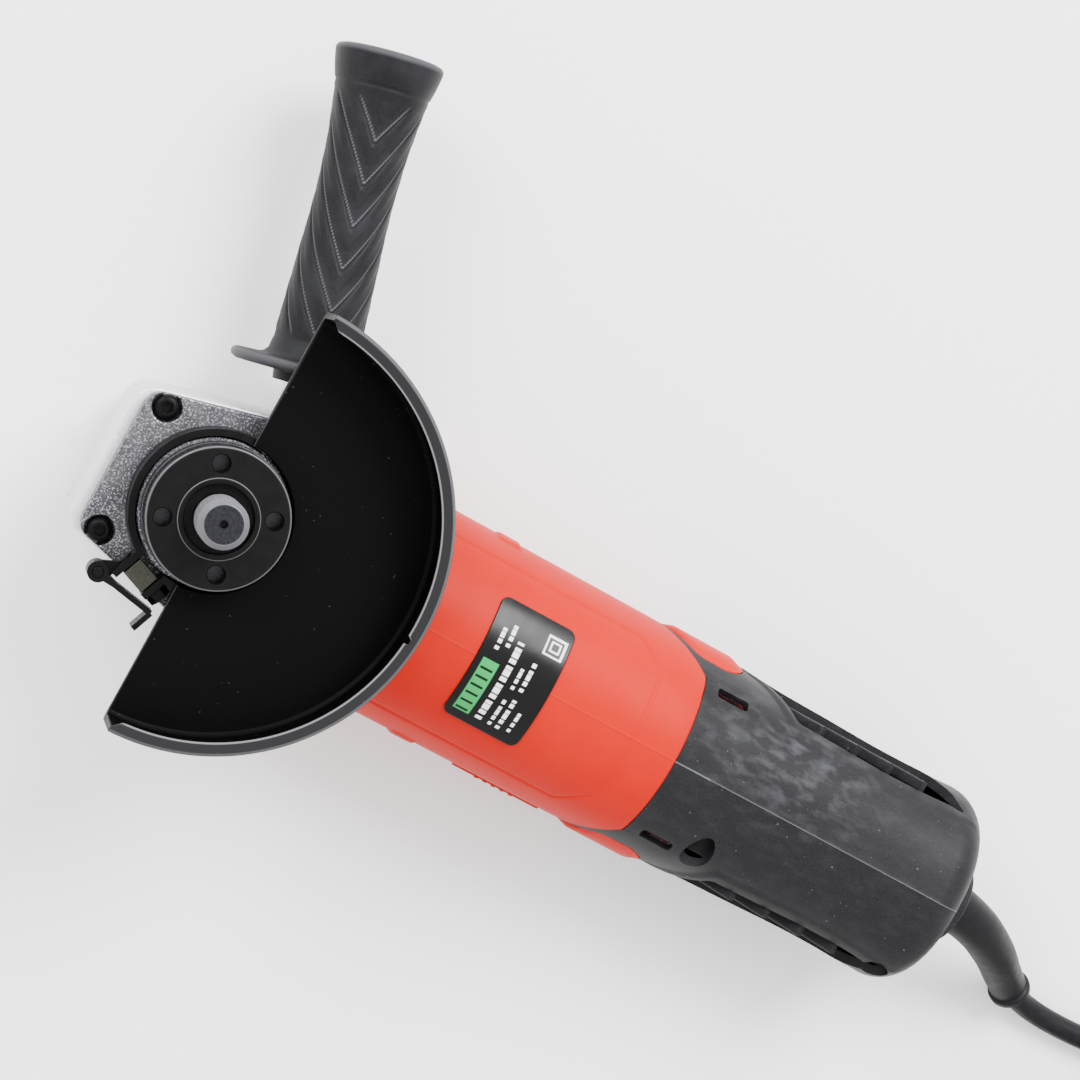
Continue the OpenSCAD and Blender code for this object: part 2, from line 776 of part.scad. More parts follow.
module brush_holders() {
    color("#c9a24a") for (side = [-1, 1]) scale([1, side, 1]) difference() {
        block([brush_x - 4.6, commutator_d / 2 + 1.5, axis_h - 5.6],
            [brush_x + 4.6, carrier_r + 1.6, axis_h + 5.6]);
        block([brush_x - 3.6, 0, axis_h - 4.6], [brush_x + 3.6, housing_r, axis_h + 4.6]);
    }
}

module carbon_brushes() {
    color("#2b2b2b") for (side = [-1, 1]) scale([1, side, 1])
        block([brush_x - 3.4, commutator_d / 2 + gap, axis_h - 4.4],
            [brush_x + 3.4, commutator_d / 2 + 9, axis_h + 4.4]);
}

module brush_springs() {
    wire = 0.4;
    start = commutator_d / 2 + 9 + wire;
    turns = 3;
    points = helix(2.8, (carrier_r + 1.6 - start - wire) / turns, turns, 12);
    color("silver") for (side = [-1, 1]) translate([brush_x, side * start, axis_h])
        rotate([-side * 90, 0, 0]) sweep(points, [for (p = points) wire], 6);
}

module brush_cover(side) {
    color("#e64b37") intersection() {
        ring_x(brush_x - 20, brush_x + 22, housing_r + 1, housing_r - 1.4);
        leaf_prism(0);
        block([0, side > 0 ? 0 : -housing_d, 0],
            [handle_rear_x, side > 0 ? housing_d : 0, 2 * housing_d]);
    }
}

module brush_cover_right() { brush_cover(1); }

module brush_cover_left() { brush_cover(-1); }

// ---------- rear handle ----------

// closed loft along X through superellipse sections, set in by a wall
module handle_loft(wall, ends) {
    n = len(handle_sections);
    power = 2 / 2.25;
    rings = [for (i = [0 : n - 1])
        let (s = handle_sections[i],
             x = housing_rear_x + s[0] * handle_len + (i == 0 ? -ends : i == n - 1 ? ends : 0)
                 - (i > n - 4 ? wall : 0))
        for (k = [0 : section_sides - 1])
            let (a = 360 * k / section_sides, c = cos(a), d = sin(a))
            [x, (s[1] - wall) * sign(c) * pow(abs(c), power),
                axis_h + (s[2] - wall) * sign(d) * pow(abs(d), power)]];
    quads = [for (i = [0 : n - 2], k = [0 : section_sides - 1])
        let (a = i * section_sides + k, b = i * section_sides + (k + 1) % section_sides)
        [a, a + section_sides, b + section_sides, b]];
    polyhedron(rings, concat([[for (k = [0 : section_sides - 1]) k]], quads,
        [[for (k = [section_sides - 1 : -1 : 0]) (n - 1) * section_sides + k]]));
}

vent_x = [housing_rear_x + 18, housing_rear_x + 79];
vent_count = 5;
vent_half_h = 10;
vent_tilt = 35;
vent_rib = 3.2;
handle_screw_places = [[housing_rear_x + 22.5, -24], [housing_rear_x + 22.5, 24],
    [housing_rear_x + 86, -20], [housing_rear_x + 92, 18]];
tower_r = 6;
seam_depth = 9;

module at_handle_screws() {
    for (p = handle_screw_places)
        translate([p[0], 0, axis_h + p[1]]) rotate([90, 0, 0]) children();
}

module vents() {
    step = (vent_x[1] - vent_x[0]) / vent_count;
    lean = vent_half_h * tan(vent_tilt);
    half_w = (step - vent_rib) / 2;
    for (i = [0 : vent_count - 1]) translate([vent_x[0] + (i + 0.5) * step, housing_d, axis_h])
        rotate([90, 0, 0]) linear_extrude(2 * housing_d) polygon([
            [-half_w + lean, vent_half_h], [half_w + lean, vent_half_h],
            [half_w - lean, -vent_half_h], [-half_w - lean, -vent_half_h]]);
    // small slots beside the seam, just behind the motor housing
    for (angle = [44, 136]) across_motor(housing_rear_x + 4.5) rotate(angle)
        translate([carrier_r + 1, -1.7, 0]) cube([housing_r, 3.4, 10.5]);
}

module rear_handle(side) {
    color("#3e3e41") difference() {
        union() {
            difference() {
                union() {
                    handle_loft(0, 0);
                    intersection() {
                        ring_x(housing_rear_x - notch_depth - 1, housing_rear_x, housing_r,
                            housing_in_r + 0.4);
                        side_notch(-joint_gap);
                    }
                    along_x(handle_rear_x - 6, handle_rear_x + collar_reach, gland_r + 2);
                }
                difference() {
                    handle_loft(shell_t, over);
                    // seats of the gland and the cord clamp
                    along_x(handle_rear_x - 24, handle_rear_x, gland_r + 2);
                }
                vents();
            }
            // towers of the handle screws
            intersection() {
                at_handle_screws() cylinder(h = 2 * housing_d, r = tower_r, center = true);
                handle_loft(0.5, 0);
            }
        }
        // strain relief: bore for the boot and groove for its flange
        along_x(handle_rear_x - 30, handle_rear_x + collar_reach + over, gland_r - 2.5);
        along_x(handle_rear_x - 6, handle_rear_x - 2, gland_r);
        along_x(handle_rear_x - 25, handle_rear_x - 10, gland_r - 0.5);
        // keeps clear of the bearing bridge and the switch rod
        along_x(housing_rear_x - 30, carrier_end + 0.5, carrier_r + 0.6);
        ring_x(housing_rear_x - 6, housing_rear_x + 0.01, housing_in_r + 0.3, 1);
        leaf_prism(joint_gap);
        // screws from the left side, threaded in the right half
        at_handle_screws() translate([0, 0, -12])
            cylinder(h = 2 * housing_d, r = screw_r + (side < 0 ? gap : 0));
        if (side < 0) at_handle_screws() translate([0, 0, seam_depth])
            cylinder(h = 2 * housing_d, r = head_r + 0.5);
        // the other half of the shell
        block([0, side > 0 ? -housing_d : -joint_gap / 2, -housing_d],
            [2 * handle_rear_x, side > 0 ? joint_gap / 2 : housing_d, 2 * housing_d]);
    }
}

module rear_handle_right() { rear_handle(1); }

module rear_handle_left() { rear_handle(-1); }

module handle_screws() {
    color("dimgray") at_handle_screws() translate([0, 0, seam_depth]) screw(19);
}

// ---------- switch and wiring ----------

module slide_button() {
    plate_t = 1.8;
    color("#e64b37") difference() {
        union() {
            at_switch(switch_x - 14, housing_r - 0.3) translate([0, -5.5, 0]) cube([plate_t, 11, 30]);
            for (i = [0 : 4]) at_switch(switch_x - 6 + i * 3, housing_r - 0.3 + plate_t)
                translate([-0.4, -4.5, 0]) cube([1.2, 9, 1.4]);
            at_switch(switch_x - 4, rod_path_r + rod_r) translate([0, 0.2 - slot_half_w, 0])
                cube([housing_r - rod_path_r, 2 * slot_half_w - 0.4, 8]);
        }
        along_x(switch_x - 30, switch_x + 30, rod_path_r + rod_r);
        // the plate rides over the curved housing
        difference() {
            along_x(switch_x - 30, switch_x + 30, housing_r + gap);
            at_switch(switch_x - 4, 0) translate([0, 0.2 - slot_half_w, 0])
                cube([housing_r + 1, 2 * slot_half_w - 0.4, 8]);
        }
    }
}

module switch_rod() {
    color("silver") at_switch(switch_x - 5, rod_path_r) translate([-rod_r, -1.5, 0])
        cube([2 * rod_r, 3, carrier_end + 16 - switch_x]);
}

unit_x = [carrier_end + 12, carrier_end + 40];

module switch_unit() {
    color("#1a1a1c") difference() {
        block([unit_x[0], -20, axis_h - 18], [unit_x[1], -3, axis_h + 4]);
        at_switch(unit_x[0] - 9, rod_path_r) translate([-4, -4, 0]) cube([9, 8, 24]);
    }
}

module capacitor() {
    color("#d8c23a") block([unit_x[0] + 2, 2, axis_h - 16], [unit_x[0] + 20, 12, axis_h - 2]);
}

module lead_wires() {
    colours = ["#7a4a21", "#2a62b5"];
    for (i = [0, 1]) {
        y = 3.2 - 6.4 * i;
        points = spline([[handle_rear_x - 26, y, axis_h], [handle_rear_x - 33, y * 1.4, axis_h + 2],
            [unit_x[1] + 9, -8 - y, axis_h + 6], [unit_x[1] + 0.9, -11 - y * 1.2, axis_h - 1]], 4);
        color(colours[i]) sweep(points, [for (p = points) 1.2], 8);
    }
}

clamp_x = handle_rear_x - 16;
clamp_z = [axis_h + cord_r + 0.2, axis_h + cord_r + 3];
clamp_screw_y = cord_r + 1.25;
clamp_screw_r = 1.2;

module cord_clamp() {
    color("#1a1a1c") difference() {
        block([clamp_x - 4, -clamp_screw_y - 2, clamp_z[0]],
            [clamp_x + 4, clamp_screw_y + 2, clamp_z[1]]);
        for (side = [-1, 1])
            post(clamp_x, side * clamp_screw_y, clamp_z[0] - over, clamp_z[1] + over, clamp_screw_r);
    }
}

module clamp_screws() {
    color("dimgray") for (side = [-1, 1]) {
        post(clamp_x, side * clamp_screw_y, clamp_z[1] - 7, clamp_z[1], clamp_screw_r);
        post(clamp_x, side * clamp_screw_y, clamp_z[1], clamp_z[1] + 1.4, 1.9);
    }
}

// ---------- strain relief, cord and plug ----------

boot_points = spline(boot_route, 3);
boot_last = len(boot_points) - 1;

module strain_relief() {
    radii = [for (i = [0 : boot_last]) i > boot_last - 2 ? boot_bead_r
        : boot_start_r - (boot_start_r - boot_end_r) * i / boot_last];
    color("#2b2b2e") {
        sweep(boot_points, radii, 20);
        along_x(handle_rear_x - 9.9, handle_rear_x + 0.4, gland_r - 2.6);
        along_x(handle_rear_x - 5.9, handle_rear_x - 2.1, gland_r - 0.1);
        along_x(handle_rear_x - 20.5, handle_rear_x - 9, cord_r);
    }
}

module power_cord() {
    points = spline(cord_route, 2);
    color("#2b2b2e") sweep(points, [for (p = points) cord_r], 12);
}

module cord_coil() {
    half_w = coil_pitch + cord_r;
    height = (coil_layers - 1) * coil_pitch * 0.98 + cord_d;
    round_r = 3;
    color("#2b2b2e") translate([coil_centre[0], coil_centre[1], coil_base]) rotate_extrude()
        translate([coil_d / 2, 0]) polygon([[-half_w, round_r], [round_r - half_w, 0],
            [half_w - round_r, 0], [half_w, round_r], [half_w, height - round_r],
            [half_w - round_r, height], [round_r - half_w, height], [-half_w, height - round_r]]);
}

module cord_tie() {
    half_w = coil_pitch + cord_r + 1;
    height = (coil_layers - 1) * coil_pitch * 0.98 + cord_d + coil_base + 1;
    color("#151515") translate([coil_centre[0] + coil_d / 2, coil_centre[1], 0]) difference() {
        translate([-half_w, -4, 0]) cube([2 * half_w, 8, height]);
        translate([1 - half_w, -5, 0.8]) cube([2 * half_w - 2, 10, height - 1.8]);
    }
}

module plug_axis() {
    translate([plug_rear_x, plug_y, plug_z]) rotate([0, -90, 0]) children();
}

module plug_body() {
    neck = 16;
    color("#242427") plug_axis() difference() {
        rotate_extrude() polygon([[0, 0], [5.2, 0], [6.5, neck], [11, neck + 6],
            [plug_r - 2, neck + 20], [plug_r, neck + 24], [plug_r, plug_len - 1],
            [plug_r - 1, plug_len], [0, plug_len]]);
        for (side = [-1, 1]) translate([0, side * plug_pin_spread, plug_len - 9])
            cylinder(h = 10, r = plug_pin_r);
    }
}

module plug_pins() {
    color("gainsboro") plug_axis() for (side = [-1, 1])
        translate([0, side * plug_pin_spread, plug_len - 9]) {
            cylinder(h = plug_pin_len + 8, r = plug_pin_r);
            translate([0, 0, plug_pin_len + 8]) cylinder(h = 1, r1 = plug_pin_r, r2 = plug_pin_r - 1);
        }
}

// ---------- guard ----------

module guard_pan() {
    color("#141416") difference() {
        rotate_extrude($fn = 128) polygon([[band_in_r, plate_z], [guard_r, plate_z],
            [guard_r, guard_lip_z], [guard_r - lip_w, guard_lip_z],
            [guard_r - lip_w, guard_lip_z - guard_t], [guard_r - guard_t, guard_lip_z - guard_t],
            [guard_r - guard_t, plate_z + guard_t], [band_in_r, plate_z + guard_t]]);
        block([-guard_d, -guard_d, 0], [0, guard_d, guard_lip_z + over]);
    }
}

module at_gap() {
    rotate(gap_angle) children();
}

module guard_band() {
    ear_in = band_in_r + 0.5;
    color("#1c1c1f") difference() {
        union() {
            difference() {
                ring_z(band_z, plate_z, band_in_r + band_t, band_in_r);
                at_gap() block([0, -4, 0], [99, 4, 99]);
            }
            at_gap() {
                block([ear_in, -6, ear_z[0]], [band_in_r + 10, -4, ear_z[1]]);
                block([ear_in, 4, ear_z[0]], [band_in_r + 8, 6, ear_z[1]]);
                // knuckle of the lever on the front ear
                translate([0, 0, ear_z[0] + 2.4]) linear_extrude(2.7) hull() {
                    translate(pivot) circle(3, $fn = 32);
                    translate([band_in_r + 6.6, -6.5]) square([3.4, 1.5]);
                }
            }
        }
        at_gap() {
            translate([bolt_x, 0, (ear_z[0] + ear_z[1]) / 2]) rotate([90, 0, 0])
                cylinder(h = 30, r = screw_r + run, center = true);
            post(pivot[0], pivot[1], 0, 99, pin_r);
            post(0, 0, 0, 99, band_in_r);
        }
    }
}

module band_bolt() {
    color("silver") at_gap() translate([bolt_x, 0, (ear_z[0] + ear_z[1]) / 2]) rotate([-90, 0, 0]) {
        translate([0, 0, -6.5]) cylinder(h = 12.6, r = screw_r);
        translate([0, 0, 6.05]) cylinder(h = 3, r = head_r - 0.4, $fn = 6);
    }
}

module band_block() {
    color("#8d8d86") at_gap() difference() {
        block([bolt_x - 3, -3.6, ear_z[0]], [bolt_x + 3, 3.6, ear_z[1]]);
        translate([bolt_x, 0, (ear_z[0] + ear_z[1]) / 2]) rotate([90, 0, 0])
            cylinder(h = 30, r = screw_r + 0.01, center = true);
    }
}

module lever_pin() {
    color("silver") at_gap() {
        post(pivot[0], pivot[1], ear_z[0] - 0.4, ear_z[1] + 0.5, pin_r);
    }
}

module clamp_lever() {
    fork_t = 2;
    dir = unit(lever_tip - pivot);
    across = [-dir[1], dir[0]];
    half_t = 0.8;
    reach = norm(lever_tip - pivot);
    color("#1c1c1f") at_gap() difference() {
        union() {
            for (z = [ear_z[0], ear_z[1] - fork_t]) translate([0, 0, z]) linear_extrude(fork_t) {
                translate(pivot) circle(3, $fn = 32);
                polygon([pivot + 1.5 * across, pivot - 1.5 * across,
                    pivot + 6 * dir - half_t * across, pivot + 6 * dir + half_t * across]);
            }
            translate([0, 0, ear_z[0]]) linear_extrude(ear_z[1] - ear_z[0]) {
                polygon([pivot + 4 * dir + half_t * across, pivot + 4 * dir - half_t * across,
                    pivot + reach * dir - half_t * across, pivot + reach * dir + half_t * across]);
                translate(lever_tip + [0, -half_t]) square([6.5, 2 * half_t]);
            }
        }
        post(pivot[0], pivot[1], 0, 99, pin_r + run);
    }
}

// ---------- side handle ----------

module side_handle_grip() {
    r0 = grip_d / 2;
    flange = grip_flange_d / 2;
    end_r = grip_end_d / 2;
    start = 13;
    stop = start + grip_len;
    color("#2b2b2f") on_wall(1) difference() {
        rotate_extrude() polygon(concat([[0, start - 3], [10, start - 3], [10, start],
            [flange - 1.5, start], [flange, start + 1.5], [flange - 0.5, start + 3.5],
            [r0 + 4, start + 5.5], [r0, start + 11], [r0 - 0.6, start + 30], [r0 - 1.2, stop - 40],
            [r0 - 0.2, stop - 22], [r0 + 1.2, stop - 12], [end_r - 0.6, stop - 2.5]],
            arc([end_r - 2, stop - 2], 2, 0, 90, 4), [[0, stop]]));
        translate([0, 0, start - 4]) cylinder(h = 26, d = handle_hole_d);
    }
}

module side_handle_stud() {
    low = 1 - handle_hole_depth;
    color("silver") on_wall(1) {
        translate([0, 0, low]) cylinder(h = 34 - low, d = handle_hole_d - 2 * run);
        cylinder(h = 2, r = 7);
        translate([0, 0, 2]) cylinder(h = 8, r = 6.5, $fn = 6);
    }
}

gear_case();
bearing_cover();
cover_screws();
case_screws();
needle_bearing();
spindle_bearing();
bearing_retainer();
spindle_seal();
spindle();
bevel_gear();
inner_flange();
lock_nut();
lock_button();
lock_spring();
pinion();
pinion_nut();
front_motor_bearing();
rear_motor_bearing();
armature_shaft();
armature_core();
armature_windings();
commutator();
cooling_fan();
air_baffle();
stator_core();
stator_windings();
motor_housing();
rating_label();
brush_holders();
carbon_brushes();
brush_springs();
brush_cover_right();
brush_cover_left();
rear_handle_right();
rear_handle_left();
handle_screws();
slide_button();
switch_rod();
switch_unit();
capacitor();
lead_wires();
cord_clamp();
clamp_screws();
strain_relief();
guard_pan();
guard_band();
band_bolt();
band_block();
lever_pin();
clamp_lever();
side_handle_grip();
side_handle_stud();
power_cord();
cord_coil();
cord_tie();
plug_body();
plug_pins();
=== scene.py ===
import math

import bmesh
import bpy
import numpy as np
from bpy.props import FloatProperty, FloatVectorProperty, PointerProperty
from mathutils import Matrix, Vector
from mathutils.kdtree import KDTree


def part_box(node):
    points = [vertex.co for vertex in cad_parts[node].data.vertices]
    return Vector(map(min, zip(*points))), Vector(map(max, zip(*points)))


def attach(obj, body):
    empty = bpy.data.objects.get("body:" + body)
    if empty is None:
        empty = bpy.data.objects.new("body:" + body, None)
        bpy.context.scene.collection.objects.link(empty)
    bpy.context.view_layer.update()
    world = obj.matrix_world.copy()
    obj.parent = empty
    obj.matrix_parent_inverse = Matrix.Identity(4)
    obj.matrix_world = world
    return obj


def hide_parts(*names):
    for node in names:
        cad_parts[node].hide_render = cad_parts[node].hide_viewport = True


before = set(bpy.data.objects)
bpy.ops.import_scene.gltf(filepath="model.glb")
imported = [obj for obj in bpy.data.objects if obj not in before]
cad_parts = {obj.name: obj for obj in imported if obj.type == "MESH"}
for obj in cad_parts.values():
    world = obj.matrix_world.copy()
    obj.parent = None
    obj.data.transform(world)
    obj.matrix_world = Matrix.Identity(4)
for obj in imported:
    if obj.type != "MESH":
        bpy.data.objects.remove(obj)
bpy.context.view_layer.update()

bl_info = {
    "name": "Angle Grinder Builder",
    "version": (1, 0, 0),
    "blender": (4, 5, 0),
    "location": "3D View > Sidebar > Grinder",
    "description": "Builds the finished pieces of an angle grinder round its working frame",
    "category": "Add Mesh",
}

MM = 0.001


def span(node):
    """Lowest and highest corner of a CAD node, in millimetres."""
    low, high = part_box(node)
    return np.array(low) / MM, np.array(high) / MM


def middle(node):
    """Centre of a CAD node's box, in millimetres."""
    low, high = span(node)
    return (low + high) / 2


# stations of the tool, in millimetres: the motor axis runs along X, the spindle along Z
AXIS_H = middle("armature_core")[2]
JOINT_X = span("motor_housing")[0][0]
HOUSING_R = span("motor_housing")[1][2] - AXIS_H
# the bearing bridge reaches this far behind the housing, the collar this far behind the handle
CARRIER_REACH = 18
REAR_X = span("motor_housing")[1][0] - CARRIER_REACH
COLLAR_REACH = 7.5
HANDLE_END = span("rear_handle_right")[1][0] - COLLAR_REACH
HANDLE_LEN = HANDLE_END - REAR_X
SEAM_GAP = 0.05
SPANNER_ANGLE = 26
# slope of the gear case's side wall and the side handle's foot on it
WALL_ANGLE = 14.5
HANDLE_FOOT = (12.2, 33.828)
# wall of the mouldings
HOUSING_WALL = 3.2
SHELL_WALL = 2.6


def shown(colour):
    """Linear red, green, blue and alpha of an sRGB hex value."""
    parts = [int(colour[i : i + 2], 16) / 255 for i in (1, 3, 5)]
    return [p / 12.92 if p <= 0.04045 else ((p + 0.055) / 1.055) ** 2.4 for p in parts] + [1.0]


# ---------- sizes and colours that a user may change ----------


def colour_prop(name, description, value):
    """A colour setting whose default is an sRGB hex value."""
    return FloatVectorProperty(
        name=name, description=description, subtype="COLOR", size=4, min=0, max=1, default=shown(value)
    )


def size_prop(name, description, value):
    """A length setting in millimetres."""
    return FloatProperty(name=name, description=description, default=value, min=0, precision=2)


class GRINDER_PG_sizes(bpy.types.PropertyGroup):
    """Sizes of the surface details, in millimetres."""

    cast_round: size_prop("Casting radius", "Rounding of the gear case's cast edges", 0.8)
    panel_depth: size_prop("Panel groove", "Depth of the line round the housing's panel", 0.4)
    panel_chamfer: size_prop("Panel chamfer", "Cut at the corners of the housing's panel", 9.0)
    vent_frame: size_prop("Vent frame", "Height of the frames round the air inlets", 0.7)
    crease: size_prop("Handle crease", "Fall of the handle's sides away from its seam", 1.1)
    chevron_pitch: size_prop("Chevron pitch", "Distance from one grip chevron to the next", 12.4)
    chevron_depth: size_prop("Chevron depth", "Depth of the grip's chevrons", 0.55)
    thread_pitch: size_prop("Thread pitch", "Pitch of the spindle's thread", 2.0)
    cord_d: size_prop("Cord diameter", "Diameter of the power cord", 7.5)
    coil_d: size_prop("Coil diameter", "Diameter at the middle of the cord's coil", 82.4)


class GRINDER_PG_colours(bpy.types.PropertyGroup):
    """Colours of the moulded and coated pieces."""

    housing: colour_prop("Housing", "Moulded motor housing", "#A60B00")
    handle: colour_prop("Handle", "Moulded rear handle", "#101012")
    # pale colour of the dust smears, also used for the painted sheen on the handle's lit flank
    dust_and_sheen: colour_prop("Dust", "Pale scuffing on the rear handle", "#77777F")
    grip: colour_prop("Grip", "Rubber of the side handle", "#0B0B0D")
    enamel: colour_prop("Guard enamel", "Stoved enamel of the guard", "#040404")
    label: colour_prop("Label", "Ground of the rating label", "#040405")
    label_block: colour_prop("Label block", "Coloured block on the rating label", "#1F8A45")


class GRINDER_PG_stage(bpy.types.PropertyGroup):
    """Camera, floor and studio light."""

    lens: FloatProperty(name="Lens", description="Focal length", default=92.5, unit="CAMERA")
    key: FloatProperty(name="Key light", description="Power of the main light", default=64.0)
    fill: FloatProperty(name="Fill light", description="Strength of the room's light", default=2.2)


def sizes():
    return bpy.context.scene.grinder_sizes


def colours():
    return bpy.context.scene.grinder_colours


# ---------- materials ----------


def add(tree, kind, settings=(), inputs=()):
    """Adds one node, sets its properties, and fills its inputs with values or links."""
    made = tree.nodes.new(kind)
    for key, value in dict(settings).items():
        setattr(made, key, value)
    for key, value in dict(inputs).items():
        if isinstance(value, bpy.types.NodeSocket):
            tree.links.new(value, made.inputs[key])
        else:
            made.inputs[key].default_value = value
    return made


def coat(name, varied, **shader):
    """One material, made once. varied(tree, place) gives the inputs that change over the surface."""
    found = bpy.data.materials.get(name)
    if found:
        return found
    made = bpy.data.materials.new(name)
    made.use_nodes = True
    tree = made.node_tree
    tree.nodes.clear()
    place = add(tree, "ShaderNodeTexCoord").outputs["Object"]
    inputs = {key.replace("_", " "): value for key, value in shader.items()}
    inputs.update(varied(tree, place))
    surface = add(tree, "ShaderNodeBsdfPrincipled", {}, inputs)
    add(tree, "ShaderNodeOutputMaterial", {}, {"Surface": surface.outputs[0]})
    return made


def noise(tree, place, grain, detail=3.0, stretch=(1, 1, 1)):
    """Noise between 0 and 1 whose lumps measure grain millimetres."""
    scaled = add(tree, "ShaderNodeMapping", {}, {"Vector": place, "Scale": stretch})
    return add(tree, "ShaderNodeTexNoise", {}, {
        "Vector": scaled.outputs[0], "Scale": 1 / (grain * MM), "Detail": detail,
    }).outputs["Fac"]


def ramp(tree, value, low, high, to_low=0.0, to_high=1.0):
    """value carried from the range low..high to to_low..to_high, held at the ends."""
    return add(tree, "ShaderNodeMapRange", {"clamp": True}, {
        "Value": value, "From Min": low, "From Max": high, "To Min": to_low, "To Max": to_high,
    }).outputs["Result"]


def spread(tree, value, low, high):
    """A noise's middle range carried to low..high."""
    return ramp(tree, value, 0.3, 0.7, low, high)


def blend_colour(tree, factor, first, second):
    """Colour between first and second."""
    return add(tree, "ShaderNodeMix", {"data_type": "RGBA"}, {
        0: factor, 6: first, 7: second,
    }).outputs[2]


def mottle(tree, value, dark, light):
    """Two colours mixed by the middle range of a noise."""
    return blend_colour(tree, ramp(tree, value, 0.3, 0.7), dark, light)


def times(tree, first, second):
    """Product of two values."""
    return add(tree, "ShaderNodeMath", {"operation": "MULTIPLY"}, {0: first, 1: second}).outputs[0]


def relief(tree, height, depth, strength=0.6):
    """Normal of a surface whose height varies by depth millimetres."""
    return add(tree, "ShaderNodeBump", {}, {
        "Height": height, "Distance": depth * MM, "Strength": strength,
    }).outputs["Normal"]


def grained(dark, light, grain, rough, depth, stretch=(1, 1, 1)):
    """Two shades mixed by lumps of one size, with gloss and relief that follow them."""

    def varied(tree, place):
        lumps = noise(tree, place, grain, stretch=stretch)
        return {
            "Base Color": mottle(tree, lumps, shown(dark), shown(light)),
            "Roughness": spread(tree, lumps, rough[0], rough[1]),
            "Normal": relief(tree, lumps, depth),
        }

    return varied


# plain finishes: darker and lighter shade, grain in mm, roughness, depth in mm, stretch, metallic
PLAIN = {
    # ground bearing steel: bright, with faint grinding marks
    "ground_bearing_steel": ("#A4A7AB", "#C4C7CA", 0.7, (0.2, 0.32), 0.01, (1, 1, 1), 1.0),
    # turned steel: grey, the cutter's fine marks catch light
    "turned_steel": ("#8C8E92", "#B2B4B8", 0.8, (0.28, 0.42), 0.02, (1, 1, 1), 1.0),
    # phosphated gear steel: dull and dark, with a soft grain
    "phosphated_gear_steel": ("#3E3F42", "#5A5B5F", 0.9, (0.4, 0.55), 0.03, (1, 1, 1), 0.8),
    # zinc plating: pale, slightly cloudy metal
    "zinc_plated_steel": ("#9A9EA6", "#C2C6CC", 2.5, (0.25, 0.4), 0.01, (1, 1, 1), 1.0),
    # drawn spring wire: bright with streaks
    "drawn_spring_steel": ("#7E8084", "#A8AAAE", 0.6, (0.25, 0.38), 0.01, (1, 1, 4), 1.0),
    # stack of electrical sheets: fine dark lines across the axis
    "stacked_electrical_steel": ("#4C4C50", "#8A8A8F", 0.5, (0.4, 0.55), 0.05, (3, 0.2, 0.2), 0.9),
    # enamelled copper wire: warm brown with a lacquer gloss
    "enamelled_copper_wire": ("#7A3C16", "#B8672F", 0.9, (0.22, 0.35), 0.12, (1, 3, 3), 0.7),
    # drawn copper: the commutator's rubbed bars
    "rubbed_copper": ("#8E5233", "#C17E56", 1.2, (0.25, 0.4), 0.02, (0.3, 2, 2), 1.0),
    # pressed brass: yellow metal with a light tarnish
    "pressed_brass": ("#8F7330", "#CDAA55", 2.0, (0.25, 0.45), 0.02, (1, 1, 1), 1.0),
    # pressed carbon: soft black with a graphite shine
    "pressed_carbon": ("#1A1A1C", "#34343A", 0.5, (0.45, 0.62), 0.03, (1, 1, 1), 0.2),
    # glass-filled nylon: black with a faint fibre mottle
    "glass_filled_nylon": ("#0F0F11", "#18181B", 0.8, (0.42, 0.58), 0.04, (1, 1, 1), 0.0),
    # nitrile rubber: soft black
    "nitrile_rubber": ("#121214", "#1E1E21", 0.9, (0.5, 0.65), 0.04, (1, 1, 1), 0.0),
    # capacitor film: yellow shrink wrap
    "polyester_film": ("#BFA526", "#E2CC48", 1.8, (0.2, 0.35), 0.03, (1, 1, 1), 0.0),
    # nickel plating on brass plug pins: smooth warm silver
    "nickel_plated_brass": ("#A8A49B", "#CFCBC2", 1.5, (0.16, 0.3), 0.01, (1, 1, 1), 1.0),
    # tumbled zinc of the clamp's block: dark, dulled by handling
    "tumbled_zinc_block": ("#26261F", "#36362E", 1.0, (0.4, 0.55), 0.04, (1, 1, 1), 0.6),
    # heat-blued steel of the clamping flange: dark, with turning marks
    "blued_steel": ("#1C1C1F", "#343438", 0.6, (0.3, 0.42), 0.02, (1, 1, 1), 0.7),
    # woven hook-and-loop strap: fuzzy black with a coarse weave
    "woven_strap": ("#0E0E10", "#232326", 0.7, (0.75, 0.9), 0.15, (1, 1, 1), 0.0),
}


def plain(name):
    """A finish from the list of plain ones."""
    dark, light, grain, rough, depth, stretch, metallic = PLAIN[name]
    return coat(name, grained(dark, light, grain, rough, depth, stretch), Metallic=metallic)


def shot_blasted_aluminium():
    """Die-cast aluminium after shot blasting: mid grey with bright sparkling dimples."""

    def varied(tree, place):
        dimples = noise(tree, place, 0.55, 2.0)
        clouds = noise(tree, place, 6.0)
        ground = mottle(tree, clouds, shown("#3A3A3E"), shown("#505054"))
        sparkle = ramp(tree, dimples, 0.52, 0.68)
        return {
            "Base Color": blend_colour(tree, sparkle, ground, shown("#9A9A9F")),
            "Roughness": ramp(tree, dimples, 0.35, 0.65, 0.55, 0.36),
            "Normal": relief(tree, dimples, 0.06, 0.5),
        }

    return coat("shot_blasted_aluminium", varied, Metallic=0.75)


def tumbled_aluminium():
    """Die-cast aluminium polished by tumbling: pale silver, soft lumps, low contrast."""
    return coat(
        "tumbled_aluminium",
        grained("#C4C4C8", "#DADADD", 1.1, (0.34, 0.46), 0.06),
        Metallic=0.55,
    )


def with_painted_highlight(tree, dark, bright):
    """Coating colour, blended to a bright painted highlight by the per-point highlight attribute."""
    painted_highlight = add(tree, "ShaderNodeAttribute", {"attribute_name": "painted_highlight"}).outputs["Fac"]
    return blend_colour(tree, painted_highlight, dark, bright), painted_highlight


